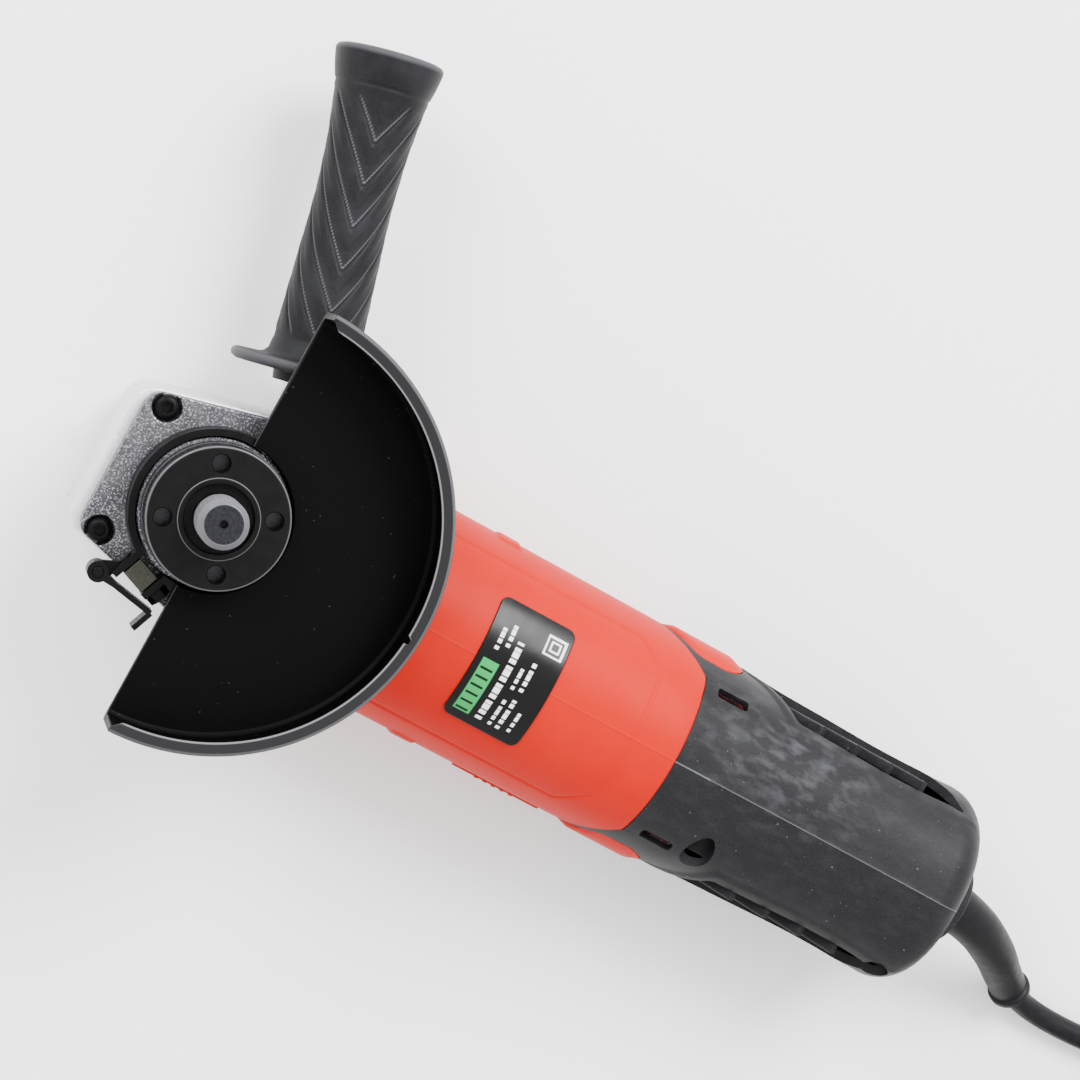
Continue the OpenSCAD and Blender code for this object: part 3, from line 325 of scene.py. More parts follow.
def black_oxide_steel():
    """Blackened steel, oiled: near black with a satin shine, turning rings and painted highlights on its
    edges.
    """

    def varied(tree, place):
        split = add(tree, "ShaderNodeSeparateXYZ", {}, {"Vector": place})
        flat = add(tree, "ShaderNodeCombineXYZ", {}, {"X": split.outputs[0], "Y": split.outputs[1]})
        radius = add(tree, "ShaderNodeVectorMath", {"operation": "LENGTH"}, {0: flat.outputs[0]})
        rings = add(tree, "ShaderNodeTexNoise", {"noise_dimensions": "1D"}, {
            "W": radius.outputs["Value"], "Scale": 1 / (0.5 * MM), "Detail": 2.0,
        }).outputs["Fac"]
        clouds = noise(tree, place, 4.0)
        dark = mottle(tree, clouds, shown("#040404"), shown("#080809"))
        # A9A9AD: colour of the painted edge highlights
        colour, painted_highlight = with_painted_highlight(tree, dark, shown("#A9A9AD"))
        return {
            "Base Color": colour,
            "Roughness": spread(tree, rings, 0.34, 0.46),
            "Normal": relief(tree, rings, 0.02, 0.5),
            "Metallic": ramp(tree, painted_highlight, 0.0, 1.0, 0.0, 1.0),
        }

    return coat("blackened_steel", varied, Specular_IOR_Level=0.09)


def hardened_steel():
    """Hardened spindle steel with a brown-grey temper and painted highlights on its edges."""

    def varied(tree, place):
        lumps = noise(tree, place, 0.8)
        dark = mottle(tree, lumps, shown("#17171A"), shown("#232327"))
        # 8A8A8E: colour of the painted highlights on the thread crests and tip edge
        colour, _ = with_painted_highlight(tree, dark, shown("#8A8A8E"))
        return {
            "Base Color": colour,
            "Roughness": spread(tree, lumps, 0.3, 0.42),
            "Normal": relief(tree, lumps, 0.02),
        }

    return coat("hardened_steel", varied, Metallic=0.25, Specular_IOR_Level=0.1)


def stoved_enamel():
    """Stoved black enamel on pressed sheet: smooth, deep black, with painted grey highlights along its
    edges.
    """

    def varied(tree, place):
        peel = noise(tree, place, 1.6)
        specks = ramp(tree, noise(tree, place, 1.1, 0.0), 0.845, 0.855)
        # 8B8B8F: colour of the painted highlights on the guard's edges
        colour, _ = with_painted_highlight(tree, colours().enamel, shown("#8B8B8F"))
        return {
            "Base Color": blend_colour(tree, times(tree, specks, 0.12), colour, shown("#6A6A6E")),
            "Roughness": spread(tree, peel, 0.42, 0.5),
            "Normal": relief(tree, peel, 0.012, 0.4),
        }

    return coat("stoved_enamel", varied, Specular_IOR_Level=0.035)


def moulded_nylon():
    """Glass-filled nylon moulded in red: satin, spark-eroded grain, slightly paler where rubbed."""

    def varied(tree, place):
        spark = noise(tree, place, 0.45, 2.0)
        clouds = noise(tree, place, 14.0)
        ground = colours().housing
        paler = [c * 0.97 + 0.03 * w for c, w in zip(ground, (0.8, 0.1, 0.05, 1.0))]
        return {
            "Base Color": blend_colour(tree, ramp(tree, clouds, 0.35, 0.7), ground, paler),
            "Roughness": spread(tree, spark, 0.44, 0.54),
            "Normal": relief(tree, spark, 0.03, 0.5),
        }

    return coat("moulded_red_nylon", varied, Specular_IOR_Level=0.07)


def dusty_sheened_nylon():
    """Matt black nylon moulding with a fine eroded grain, pale dust smears gathered into a painted sheen on
    the lit upper flank, and painted highlights.
    """

    def varied(tree, place):
        spark = noise(tree, place, 0.5, 2.0)
        smears = noise(tree, place, 4.0, 12.0, (0.6, 1.2, 1.0))
        # flank and patch mark the upper +Y flank that faces the key light; there the pale smears are
        # strengthened into a painted sheen
        flank = add(tree, "ShaderNodeMapping", {}, {
            "Vector": place,
            "Location": (-(REAR_X + 33) / 36, -15 / 20, -(AXIS_H + 27) / 26),
            "Scale": (1 / (36 * MM), 1 / (20 * MM), 1 / (26 * MM)),
        }).outputs[0]
        away = add(tree, "ShaderNodeVectorMath", {"operation": "LENGTH"}, {0: flank}).outputs["Value"]
        patch = ramp(tree, away, 1.1, 0.2)
        dust_and_sheen = times(tree, ramp(tree, smears, 0.46, 0.72), ramp(tree, patch, 0.0, 1.0, 0.02, 0.2))
        specks = ramp(tree, noise(tree, place, 0.9, 0.0), 0.85, 0.86)
        ground = mottle(tree, spark, colours().handle, shown("#1A1A1C"))
        paled = blend_colour(tree, dust_and_sheen, ground, colours().dust_and_sheen)
        # 8E8E94: colour of the painted highlight along the seam ridge
        paled, _ = with_painted_highlight(tree, paled, shown("#8E8E94"))
        return {
            "Base Color": blend_colour(tree, times(tree, specks, 0.2), paled, shown("#8A8A90")),
            "Roughness": ramp(tree, dust_and_sheen, 0.0, 0.6, 0.5, 0.72),
            "Normal": relief(tree, spark, 0.05, 0.7),
        }

    return coat("dusty_sheened_black_nylon", varied, Specular_IOR_Level=0.12)


def grip_rubber():
    """Thermoplastic rubber over the side handle: charcoal, soft sheen, faint pale smears and painted
    highlights on its chevrons, flange and end rims.
    """

    def varied(tree, place):
        skin = noise(tree, place, 0.6, 2.0)
        smears = noise(tree, place, 11.0, 5.0)
        ground = mottle(tree, skin, colours().grip, shown("#141416"))
        paled = blend_colour(tree, ramp(tree, smears, 0.45, 0.8, 0.0, 0.3), ground, shown("#303037"))
        # 9C9CA2: colour of the painted highlights on the chevrons' edges and the rims
        colour, _ = with_painted_highlight(tree, paled, shown("#9C9CA2"))
        return {
            "Base Color": colour,
            "Roughness": spread(tree, smears, 0.46, 0.6),
            "Normal": relief(tree, skin, 0.04, 0.6),
        }

    return coat("thermoplastic_rubber", varied, Specular_IOR_Level=0.12)


def cord_rubber():
    """Rubber cord sheath: soft black, faint chalky bloom."""
    return coat("rubber_sheath", grained("#0A0A0C", "#121214", 3.0, (0.42, 0.55), 0.03),
                Specular_IOR_Level=0.12)


def wire_sheath():
    """PVC of the two leads: brown on one side of the seam, blue on the other."""

    def varied(tree, place):
        split = add(tree, "ShaderNodeSeparateXYZ", {}, {"Vector": place})
        side = add(tree, "ShaderNodeMath", {"operation": "GREATER_THAN"}, {0: split.outputs[1], 1: -0.004})
        gloss = noise(tree, place, 1.5)
        return {
            "Base Color": blend_colour(tree, side.outputs[0], shown("#2558A8"), shown("#6E4322")),
            "Roughness": spread(tree, gloss, 0.3, 0.42),
        }

    return coat("lead_pvc", varied)


def printed_film():
    """Gloss polyester label: black film with printed blocks held in the mesh's print attribute."""

    def varied(tree, place):
        ink = add(tree, "ShaderNodeAttribute", {"attribute_name": "print"}).outputs["Color"]
        ripple = noise(tree, place, 7.0)
        return {
            "Base Color": ink,
            "Roughness": spread(tree, ripple, 0.22, 0.32),
            "Normal": relief(tree, ripple, 0.05, 0.4),
        }

    return coat("printed_polyester_film", varied, Specular_IOR_Level=0.16)


# ---------- mesh making ----------


def link(name, data):
    """A new object with the data, in the scene."""
    made = bpy.data.objects.new(name, data)
    bpy.context.scene.collection.objects.link(made)
    return made


def close_up(mesh):
    """Merges a mesh's doubled points and turns its faces outwards."""
    shape = bmesh.new()
    shape.from_mesh(mesh)
    bmesh.ops.remove_doubles(shape, verts=shape.verts, dist=0.002 * MM)
    bmesh.ops.recalc_face_normals(shape, faces=shape.faces)
    shape.to_mesh(mesh)
    shape.free()


def new_piece(name, points, faces):
    """A closed mesh object from points in millimetres."""
    mesh = bpy.data.meshes.new(name)
    mesh.from_pydata((np.asarray(points, float) * MM).tolist(), [], [tuple(f) for f in faces])
    close_up(mesh)
    return link(name, mesh)


def skin(rings, closed=True, caps=True):
    """Points and faces of a skin through rings that have equal counts of points."""
    rings = np.asarray(rings, float)
    count, sides = rings.shape[:2]
    last = sides if closed else sides - 1
    faces = [
        (i * sides + k, i * sides + (k + 1) % sides, (i + 1) * sides + (k + 1) % sides, (i + 1) * sides + k)
        for i in range(count - 1)
        for k in range(last)
    ]
    if caps:
        faces += [tuple(range(sides)), tuple(range((count - 1) * sides, count * sides))]
    return rings.reshape(-1, 3), faces


def rounded(profile, radius, closed=True, steps=3):
    """A profile with each corner eased by a short curve."""
    points = [np.array(p, float) for p in profile]
    count = len(points)
    out = []
    for i, corner in enumerate(points):
        if not closed and i in (0, count - 1):
            out.append(corner)
            continue
        before, after = points[i - 1], points[(i + 1) % count]
        reach = min(radius, np.linalg.norm(before - corner) * 0.45, np.linalg.norm(after - corner) * 0.45)
        start = corner + (before - corner) / np.linalg.norm(before - corner) * reach
        end = corner + (after - corner) / np.linalg.norm(after - corner) * reach
        for k in range(steps + 1):
            t = k / steps
            out.append((1 - t) ** 2 * start + 2 * t * (1 - t) * corner + t * t * end)
    return out


def lathe(profile, steps=96, closed=True, matrix=None):
    """Points and faces of a profile of radius and height turned about the Z axis."""
    turn = np.linspace(0, 2 * math.pi, steps + 1)
    rings = [[(r * math.cos(a), r * math.sin(a), z) for r, z in profile] for a in turn]
    points, faces = skin(rings, closed=closed, caps=False)
    return (points if matrix is None else placed(points, matrix)), faces


def level_ring(radius, height, turn):
    """Ring of points at one height, with one radius or a radius for each angle."""
    return np.c_[radius * np.cos(turn), radius * np.sin(turn), np.full(len(turn), height)]


def placed(points, matrix):
    """Points moved by a 4 x 4 matrix."""
    points = np.asarray(points, float)
    m = np.array(matrix)
    return points @ m[:3, :3].T + m[:3, 3]


def along_motor(x=0.0):
    """Matrix that turns the Z axis to the motor axis and starts at x."""
    return Matrix.Translation((x, 0, AXIS_H)) @ Matrix.Rotation(math.pi / 2, 4, "Y")


def prism(outline, low, high, matrix=None):
    """Points and faces of an outline in XY raised from low to high."""
    rings = [[(x, y, z) for x, y in outline] for z in (low, high)]
    points, faces = skin(rings)
    return (points if matrix is None else placed(points, matrix)), faces


def bake_down(piece):
    """Turns a piece with its modifiers into a plain mesh."""
    bpy.context.view_layer.update()
    graph = bpy.context.evaluated_depsgraph_get()
    mesh = bpy.data.meshes.new_from_object(piece.evaluated_get(graph))
    piece.modifiers.clear()
    piece.data = mesh
    return piece


def combine(piece, other, operation):
    """Cuts, joins or keeps the common part of two closed pieces; the second is used up."""
    change = piece.modifiers.new("combine", "BOOLEAN")
    change.operation = operation
    change.object = other
    change.solver = "MANIFOLD"
    bake_down(piece)
    bpy.data.objects.remove(other)
    return piece


def cad_copy(node, name):
    """A merged copy of a CAD node's mesh whose flat faces are whole."""
    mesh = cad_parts[node].data.copy()
    mesh.materials.clear()
    shape = bmesh.new()
    shape.from_mesh(mesh)
    bmesh.ops.remove_doubles(shape, verts=shape.verts, dist=0.001 * MM)
    bmesh.ops.dissolve_limit(
        shape, angle_limit=math.radians(0.5), verts=shape.verts, edges=shape.edges
    )
    shape.to_mesh(mesh)
    shape.free()
    return link(name, mesh)


def round_edges(piece, width):
    """Rounds a piece's sharp edges by width millimetres."""
    change = piece.modifiers.new("round", "BEVEL")
    change.width = width * MM
    change.segments = 2
    change.limit_method = "ANGLE"
    change.angle_limit = math.radians(32)
    change.use_clamp_overlap = True
    return bake_down(piece)


def smooth(piece, limit=38):
    """Smooth shading with creases kept over the limit, flat faces kept flat."""
    piece.data.shade_smooth()
    piece.data.set_sharp_from_angle(angle=math.radians(limit))
    change = piece.modifiers.new("weigh", "WEIGHTED_NORMAL")
    change.keep_sharp = True
    return bake_down(piece)


def set_painted_highlight(piece, values):
    """Stores how strong the painted highlight is at each point."""
    painted_highlight = piece.data.attributes.new("painted_highlight", "FLOAT", "POINT")
    painted_highlight.data.foreach_set("value", np.asarray(values, np.float32))


def coords(piece):
    """Point coordinates of a piece's mesh, in millimetres."""
    flat = np.zeros(len(piece.data.vertices) * 3, np.float32)
    piece.data.vertices.foreach_get("co", flat)
    return flat.reshape(-1, 3) / MM


def settle(piece, body, slot, material, *nodes):
    """Gives a finished piece its material and body, and hides the CAD nodes that it stands for. The slot
    argument is not used.
    """
    piece.data.materials.clear()
    piece.data.materials.append(material)
    if piece.type == "MESH":
        for face in piece.data.polygons:
            face.material_index = 0
    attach(piece, body)
    if nodes:
        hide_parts(*nodes)
    return piece


def rounded_node(node, width, body, slot, material, name=None):
    """A CAD node's own shape with its edges rounded, as a finished piece."""
    piece = smooth(round_edges(cad_copy(node, name or node + "_piece"), width))
    return settle(piece, body, slot, material, node)


# ---------- repeated pieces made by geometry nodes ----------


def node_group(name, sockets):
    """An empty geometry tree with a geometry input and output and the named inputs."""
    tree = bpy.data.node_groups.new(name, "GeometryNodeTree")
    tree.interface.new_socket("Geometry", in_out="INPUT", socket_type="NodeSocketGeometry")
    for label, kind in sockets:
        tree.interface.new_socket(label, in_out="INPUT", socket_type=kind)
    tree.interface.new_socket("Geometry", in_out="OUTPUT", socket_type="NodeSocketGeometry")
    return tree, tree.nodes.new("NodeGroupInput"), tree.nodes.new("NodeGroupOutput")


def finish_tree(tree, instances, material, out):
    """Makes instances real, sets the material and ends the tree."""
    real = add(tree, "GeometryNodeRealizeInstances", {}, {0: instances})
    painted = add(tree, "GeometryNodeSetMaterial", {}, {"Geometry": real.outputs[0], "Material": material})
    tree.links.new(painted.outputs[0], out.inputs[0])


def run_tree(piece, tree, values):
    """Runs a geometry tree on a piece with its inputs set, and keeps the plain result."""
    change = piece.modifiers.new("nodes", "NODES")
    change.node_group = tree
    names = {item.name: item.identifier for item in tree.interface.items_tree if item.in_out == "INPUT"}
    for label, value in values.items():
        change[names[label]] = value
    return bake_down(piece)


def copies_tree():
    """Tree that puts a copy of one part on every point."""
    found = bpy.data.node_groups.get("copies_on_points")
    if found:
        return found
    tree, given, out = node_group("copies_on_points", [
        ("Part", "NodeSocketObject"), ("Scale", "NodeSocketFloat"), ("Material", "NodeSocketMaterial"),
    ])
    part = add(tree, "GeometryNodeObjectInfo", {}, {"Object": given.outputs["Part"]})
    copies = add(tree, "GeometryNodeInstanceOnPoints", {}, {
        "Points": given.outputs["Geometry"], "Instance": part.outputs["Geometry"],
        "Scale": given.outputs["Scale"],
    })
    finish_tree(tree, copies.outputs[0], given.outputs["Material"], out)
    return tree


def bars_tree():
    """Tree that sets round-edged slanted bars in a row along X."""
    found = bpy.data.node_groups.get("row_of_bars")
    if found:
        return found
    tree, given, out = node_group("row_of_bars", [
        ("Count", "NodeSocketInt"), ("Pitch", "NodeSocketFloat"), ("Width", "NodeSocketFloat"),
        ("Depth", "NodeSocketFloat"), ("Length", "NodeSocketFloat"), ("Tilt", "NodeSocketFloat"),
        ("Material", "NodeSocketMaterial"),
    ])
    value = given.outputs
    section = add(tree, "GeometryNodeCurvePrimitiveQuadrilateral", {}, {
        "Width": value["Width"], "Height": value["Depth"],
    })
    eased = add(tree, "GeometryNodeFilletCurve", {"mode": "POLY"}, {
        "Curve": section.outputs[0], "Count": 3, "Radius": times(tree, value["Width"], 0.24),
    })
    bottom, top = [
        add(tree, "ShaderNodeCombineXYZ", {}, {"Y": times(tree, value["Length"], share)}).outputs[0]
        for share in (-0.5, 0.5)
    ]
    line = add(tree, "GeometryNodeCurvePrimitiveLine", {}, {"Start": bottom, "End": top})
    bar = add(tree, "GeometryNodeCurveToMesh", {}, {
        "Curve": line.outputs[0], "Profile Curve": eased.outputs[0], "Fill Caps": True,
    })
    turn = add(tree, "ShaderNodeCombineXYZ", {}, {"Z": value["Tilt"]})
    slanted = add(tree, "GeometryNodeTransform", {}, {
        "Geometry": bar.outputs[0], "Rotation": turn.outputs[0],
    })
    step = add(tree, "ShaderNodeCombineXYZ", {}, {"X": value["Pitch"]})
    row = add(tree, "GeometryNodeMeshLine", {"mode": "OFFSET"}, {
        "Count": value["Count"], "Offset": step.outputs[0],
    })
    copies = add(tree, "GeometryNodeInstanceOnPoints", {}, {
        "Points": row.outputs[0], "Instance": slanted.outputs[0],
    })
    finish_tree(tree, copies.outputs[0], value["Material"], out)
    return tree


def row_of_bars(name, count, pitch, width, depth, length, tilt, material, matrix):
    """A row of round-edged bars along X, starting at the matrix's origin."""
    piece = new_piece(name, [(0, 0, 0), (1, 0, 0), (0, 1, 0)], [(0, 1, 2)])
    run_tree(piece, bars_tree(), {
        "Count": count, "Pitch": pitch * MM, "Width": width * MM, "Depth": depth * MM,
        "Length": length * MM, "Tilt": math.radians(tilt), "Material": material,
    })
    lift = Matrix(matrix)
    lift.translation = lift.translation * MM
    piece.data.transform(lift)
    close_up(piece.data)
    return smooth(piece)


def screws(name, node, turn, length):
    """Blackened socket screws for a CAD group, one on each of its separate solids."""
    head_r, head_h = 3.7, 3.0
    drive_r = head_r * 0.5
    outline = [(0, 0), (head_r, 0), (head_r, head_h * 0.62), (head_r * 0.72, head_h), (0, head_h)]
    head = new_piece("screw_head", *lathe(rounded(outline, 0.55, closed=False), 40, closed=False))
    hexagon = [(drive_r * math.cos(a), drive_r * math.sin(a)) for a in np.arange(6) * math.pi / 3]
    combine(head, new_piece("socket", *prism(hexagon, head_h * 0.35, head_h + 1)), "DIFFERENCE")
    shank_r = 1.95
    shank = [(0, -length), (shank_r - 0.5, -length), (shank_r, -length + 0.8), (shank_r, 0.3), (0, 0.3)]
    combine(head, new_piece("shank", *lathe(shank, 24, closed=False)), "UNION")
    head.data.transform(turn)
    places = new_piece(name, screw_places(node, turn, head_h), [])
    finish = black_oxide_steel()
    run_tree(places, copies_tree(), {"Part": head, "Scale": 1.0, "Material": finish})
    bpy.data.objects.remove(head)
    return settle(smooth(places), "root", "black_oxide_steel", finish, node)


def screw_places(node, turn, head_h):
    """Centre of each screw's head seat in a CAD group, found from its separate solids."""
    shape = bmesh.new()
    shape.from_mesh(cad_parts[node].data)
    bmesh.ops.remove_doubles(shape, verts=shape.verts, dist=0.001 * MM)
    out_dir = np.array(turn.to_3x3().col[2])
    places, seen = [], set()
    for seed in shape.verts:
        if seed.index in seen:
            continue
        island, waiting = [], [seed]
        seen.add(seed.index)
        while waiting:
            vert = waiting.pop()
            island.append(np.array(vert.co) / MM)
            for edge in vert.link_edges:
                other = edge.other_vert(vert)
                if other.index not in seen:
                    seen.add(other.index)
                    waiting.append(other)
        island = np.array(island)
        centre = (island.min(0) + island.max(0)) / 2
        top = (island @ out_dir).max()
        places.append(centre + out_dir * (top - head_h - centre @ out_dir))
    shape.free()
    return places


# ---------- stage ----------


def make_stage():
    """Pale floor, soft light from the far side and the camera over the guard."""
    scene = bpy.context.scene
    stage = scene.grinder_stage
    floor = new_piece("floor", *prism([(-4000, -4000), (4000, -4000), (4000, 4000), (-4000, 4000)], -20, 0))

    def varied(tree, place):
        lumps = noise(tree, place, 3.0)
        return {
            "Base Color": blend_colour(tree, lumps, shown("#F6F6F6"), shown("#F8F8F8")),
            "Roughness": spread(tree, lumps, 0.85, 0.9),
        }

    floor.data.materials.append(coat("painted_board", varied, Specular_IOR_Level=0.1))

    world = bpy.data.worlds.new("studio")
    scene.world = world
    world.use_nodes = True
    room = world.node_tree.nodes["Background"]
    room.inputs["Color"].default_value = (1, 1, 1, 1)
    room.inputs["Strength"].default_value = stage.fill

    def lamp(name, place, aim, size, power):
        light = bpy.data.lights.new(name, "AREA")
        light.shape = "DISK"
        light.size = size
        light.energy = power
        holder = link(name, light)
        holder.location = place
        direction = Vector(aim) - Vector(place)
        holder.rotation_euler = direction.to_track_quat("-Z", "Y").to_euler()

    lamp("key_light", (0.35, 1.15, 1.25), (0.1, 0, 0), 0.9, stage.key)
    lamp("rim_light", (-0.9, 0.5, 0.9), (0, 0, 0.03), 0.6, stage.key * 0.25)

    right = np.array([0.85, 0.483, 0.21])
    up = np.array([-0.469, 0.876, -0.1155])
    right /= np.linalg.norm(right)
    up -= right * (up @ right)
    up /= np.linalg.norm(up)
    back = np.cross(right, up)
    lens = bpy.data.cameras.new("camera")
    lens.lens = stage.lens
    lens.sensor_width = 36
    lens.clip_start = 0.01
    camera = link("camera", lens)
    turn = Matrix([[right[i], up[i], back[i]] for i in range(3)]).to_4x4()
    camera.matrix_world = Matrix.Translation((-0.104, 0.037, 0.831)) @ turn
    scene.camera = camera


# ---------- cord, its plug and its coil ----------

# centrelines given as points: the cord on the floor and the boot from the handle down to it
CORD_ROUTE = [
    (309, -17, 8), (317, -19, 5.1), (326, -20, 4.1), (338, -20, 3.9), (352, -19, 4.2),
    (368, -17.8, 4.5), (385, -17.3, 4.6),
]
BOOT_ROUTE = [
    (256, 0, 34), (266, -0.6, 33), (278, -3, 29.5), (290, -7.5, 22.5), (300, -12.5, 14.5), (309, -17, 8),
]
# distance between the coil's turns
COIL_PITCH = 7.8


def spline(points, steps):
    """Smooth curve through a list of points."""
    points = np.asarray(points, float)
    last = len(points) - 1
    out = []
    for i in range(last):
        a, b, c, d = points[max(i - 1, 0)], points[i], points[i + 1], points[min(i + 2, last)]
        for t in np.arange(steps) / steps:
            out.append(0.5 * (
                2 * b + (c - a) * t + (2 * a - 5 * b + 4 * c - d) * t * t
                + (3 * b - a - 3 * c + d) * t ** 3
            ))
    return np.array(out + [points[last]])


def ease(t):
    """Smooth step from 0 to 1."""
    t = np.clip(t, 0, 1)
    return t * t * (3 - 2 * t)


def coil_points():
    """Centreline of the coil: two layers of three turns and a last turn on top."""
    low, high = span("cord_coil")
    centre = (low + high) / 2
    mid = sizes().coil_d / 2
    layer_h = COIL_PITCH * 0.98
    base = low[2] + sizes().cord_d / 2
    radii = [mid + COIL_PITCH, mid, mid - COIL_PITCH, mid - COIL_PITCH, mid, mid + COIL_PITCH, mid, mid]
    layers = [0, 0, 0, 1, 1, 1, 2, 2]
    per_turn = 36
    points = []
    for k in range(int(7.5 * per_turn) + 1):
        turn = k / per_turn
        i = min(int(turn), 6)
        part = turn - i
        climb = ease((part - 0.66) / 0.17)
        shift = ease((part - 0.83) / 0.17) if turn < 7 else 1
        climb = climb if turn < 7 else 1
        radius = radii[i] + (radii[i + 1] - radii[i]) * shift
        height = base + layer_h * (layers[i] + (layers[i + 1] - layers[i]) * climb)
        angle = math.pi / 2 - 2 * math.pi * turn
        points.append((centre[0] + radius * math.cos(angle), centre[1] + radius * math.sin(angle), height))
    return points


def tube(name, points, radii, sides=20):
    """Round tube along a curve, with a radius for each of its points."""
    points = np.asarray(points, float)
    rings = []
    for i, point in enumerate(points):
        ahead = points[min(i + 1, len(points) - 1)] - points[max(i - 1, 0)]
        ahead /= np.linalg.norm(ahead)
        side = np.cross(ahead, (0, 0, 1))
        side /= np.linalg.norm(side)
        up = np.cross(side, ahead)
        angles = 2 * math.pi * np.arange(sides) / sides
        rings.append(point + radii[i] * (np.outer(np.cos(angles), side) + np.outer(np.sin(angles), up)))
    return new_piece(name, *skin(rings))


def make_cord():
    """The power cord as one curve from the boot through the coil to the plug."""
    body, spots = plug_shape()
    tail_end = np.array(span("plug_body")[1])
    coil = coil_points()
    out = coil[-1]
    plug_mid = middle("plug_body")
    tail = [
        (out[0] - 12, out[1], out[2] - 0.2), (out[0] - 26, plug_mid[1], plug_mid[2] + 0.1),
        (tail_end[0] - 4, plug_mid[1], plug_mid[2]),
    ]
    lead = list(spline(CORD_ROUTE, 4))
    join = spline([CORD_ROUTE[-2], CORD_ROUTE[-1], coil[0], coil[2]], 6)[6:12]
    end = spline([coil[-3], coil[-1], *tail], 6)[7:]
    path = np.array([*lead, *join[1:], *coil, *end])
    curve = bpy.data.curves.new("power_cord_line", "CURVE")
    curve.dimensions = "3D"
    line = curve.splines.new("POLY")
    line.points.add(len(path) - 1)
    line.points.foreach_set("co", np.c_[path * MM, np.ones(len(path))].ravel())
    curve.bevel_depth = sizes().cord_d / 2 * MM
    curve.bevel_resolution = 6
    curve.use_fill_caps = True
    cord = link("power_cord_line", curve)
    line.use_smooth = True
    cord.data.materials.append(cord_rubber())
    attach(cord, "root")
    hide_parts("power_cord", "cord_coil")
    plug = settle(smooth(new_piece("plug_shell", body, spots)), "root", "black_plastic",
                  plain("glass_filled_nylon"), "plug_body")
    strap = make_tie()
    boot = make_boot()
    pins = rounded_node("plug_pins", 0.3, "root", "brass", plain("nickel_plated_brass"), "plug_prongs")


def plug_shape():
    """Moulded plug: ringed neck, grooved shoulder and round face, from rear to face along -X."""
    low, high = span("plug_body")
    mid = (low + high) / 2
    radius = (high[1] - low[1]) / 2
    length = high[0] - low[0]
    neck = [(0, 0), (5.2, 0)]
    for i in range(5):
        z = 1.5 + i * 2.9
        rib, root = 5.4 + 0.22 * i, 4.5 + 0.22 * i
        neck += [(rib, z), (rib, z + 1.7), (root, z + 1.9), (root, z + 2.7)]
    bell = [(6.6, 16), (8.2, 19), (11.5, 22.5), (radius - 2.4, 33), (radius - 1.0, 37)]
    face = [(radius - 1.0, 39.4), (radius, 40), (radius, length - 1), (radius - 1, length), (0, length)]
    points, faces = lathe(rounded(neck + bell + face, 0.5, closed=False), 72, closed=False)
    distance = np.hypot(points[:, 0], points[:, 1])
    lift = (points[:, 2] > 18) & (points[:, 2] < 38)
    angle = np.degrees(np.arctan2(points[:, 1], points[:, 0]))
    grooves = 0.5 + 0.5 * np.cos(np.radians(angle * 12))
    shrink = np.where(lift, 1 - 0.05 * grooves * np.sin(np.pi * np.clip((points[:, 2] - 18) / 20, 0, 1)), 1)
    points[:, :2] *= np.where(distance > 0.1, shrink, 1)[:, None]
    turn = Matrix.Translation((high[0], mid[1], mid[2])) @ Matrix.Rotation(-math.pi / 2, 4, "Y")
    return placed(points, turn), faces


def make_tie():
    """Strap round the coil, its end lying over itself."""
    low, high = span("cord_tie")
    mid = (low + high) / 2
    half_w, half_h = (high[0] - low[0]) / 2 - 0.55, (high[2] - low[2]) / 2 - 0.55
    corner = 4.0
    outline = []
    for cx, cz, start in ((1, 1, 0), (-1, 1, 90), (-1, -1, 180), (1, -1, 270)):
        for a in np.radians(np.linspace(start, start + 90, 7)):
            outline.append((
                cx * (half_w - corner) + corner * math.cos(a),
                cz * (half_h - corner) + corner * math.sin(a),
            ))
    outline = np.array(outline)
    rings = []
    for i in range(len(outline) + 1):
        p = outline[i % len(outline)]
        ahead = outline[(i + 1) % len(outline)] - outline[i - 1]
        ahead = ahead / np.linalg.norm(ahead)
        out = np.array([ahead[1], -ahead[0]])
        section = rounded([(-0.5, -4), (0.5, -4), (0.5, 4), (-0.5, 4)], 0.35, steps=2)
        rings.append([(mid[0] + p[0] + out[0] * s[0], mid[1] + s[1], mid[2] + p[1] + out[1] * s[0])
                      for s in section])
    return settle(smooth(new_piece("cord_strap", *skin(rings, caps=False))), "root", "black_plastic",
                  plain("woven_strap"), "cord_tie")


def make_boot():
    """Tapered strain relief with a bead at its end, bending down to the floor."""
    route = spline(BOOT_ROUTE, 24)
    count = len(route)
    share = np.arange(count) / (count - 1)
    radii = 8.2 - 2.4 * share
    bead = ease((share - 0.925) / 0.012) * ease((0.99 - share) / 0.012)
    radii = radii + 0.95 * bead - 0.6 * ease((share - 0.985) / 0.015)
    root = tube("boot_root", [(HANDLE_END - 24 + i * 6.1, 0, AXIS_H) for i in range(5)], [8.7] * 5, 40)
    boot = tube("strain_boot", route, radii, 40)
    combine(boot, root, "UNION")
    return settle(smooth(boot), "root", "cord_rubber", cord_rubber(), "strain_relief")


# ---------- gear case and its cover ----------


def casting(node, name, grain, steps, material):
    """A cast node rebuilt in grains of one size and eased, so that its edges come out soft."""
    piece = cad_copy(node, name)
    grid = piece.modifiers.new("grid", "REMESH")
    grid.mode = "VOXEL"
    grid.voxel_size = grain * MM
    ease_out = piece.modifiers.new("ease", "SMOOTH")
    ease_out.factor = 0.5
    ease_out.iterations = steps
    bake_down(piece)
    piece.data.shade_smooth()
    return settle(piece, "root", "cast_aluminium", material, node)


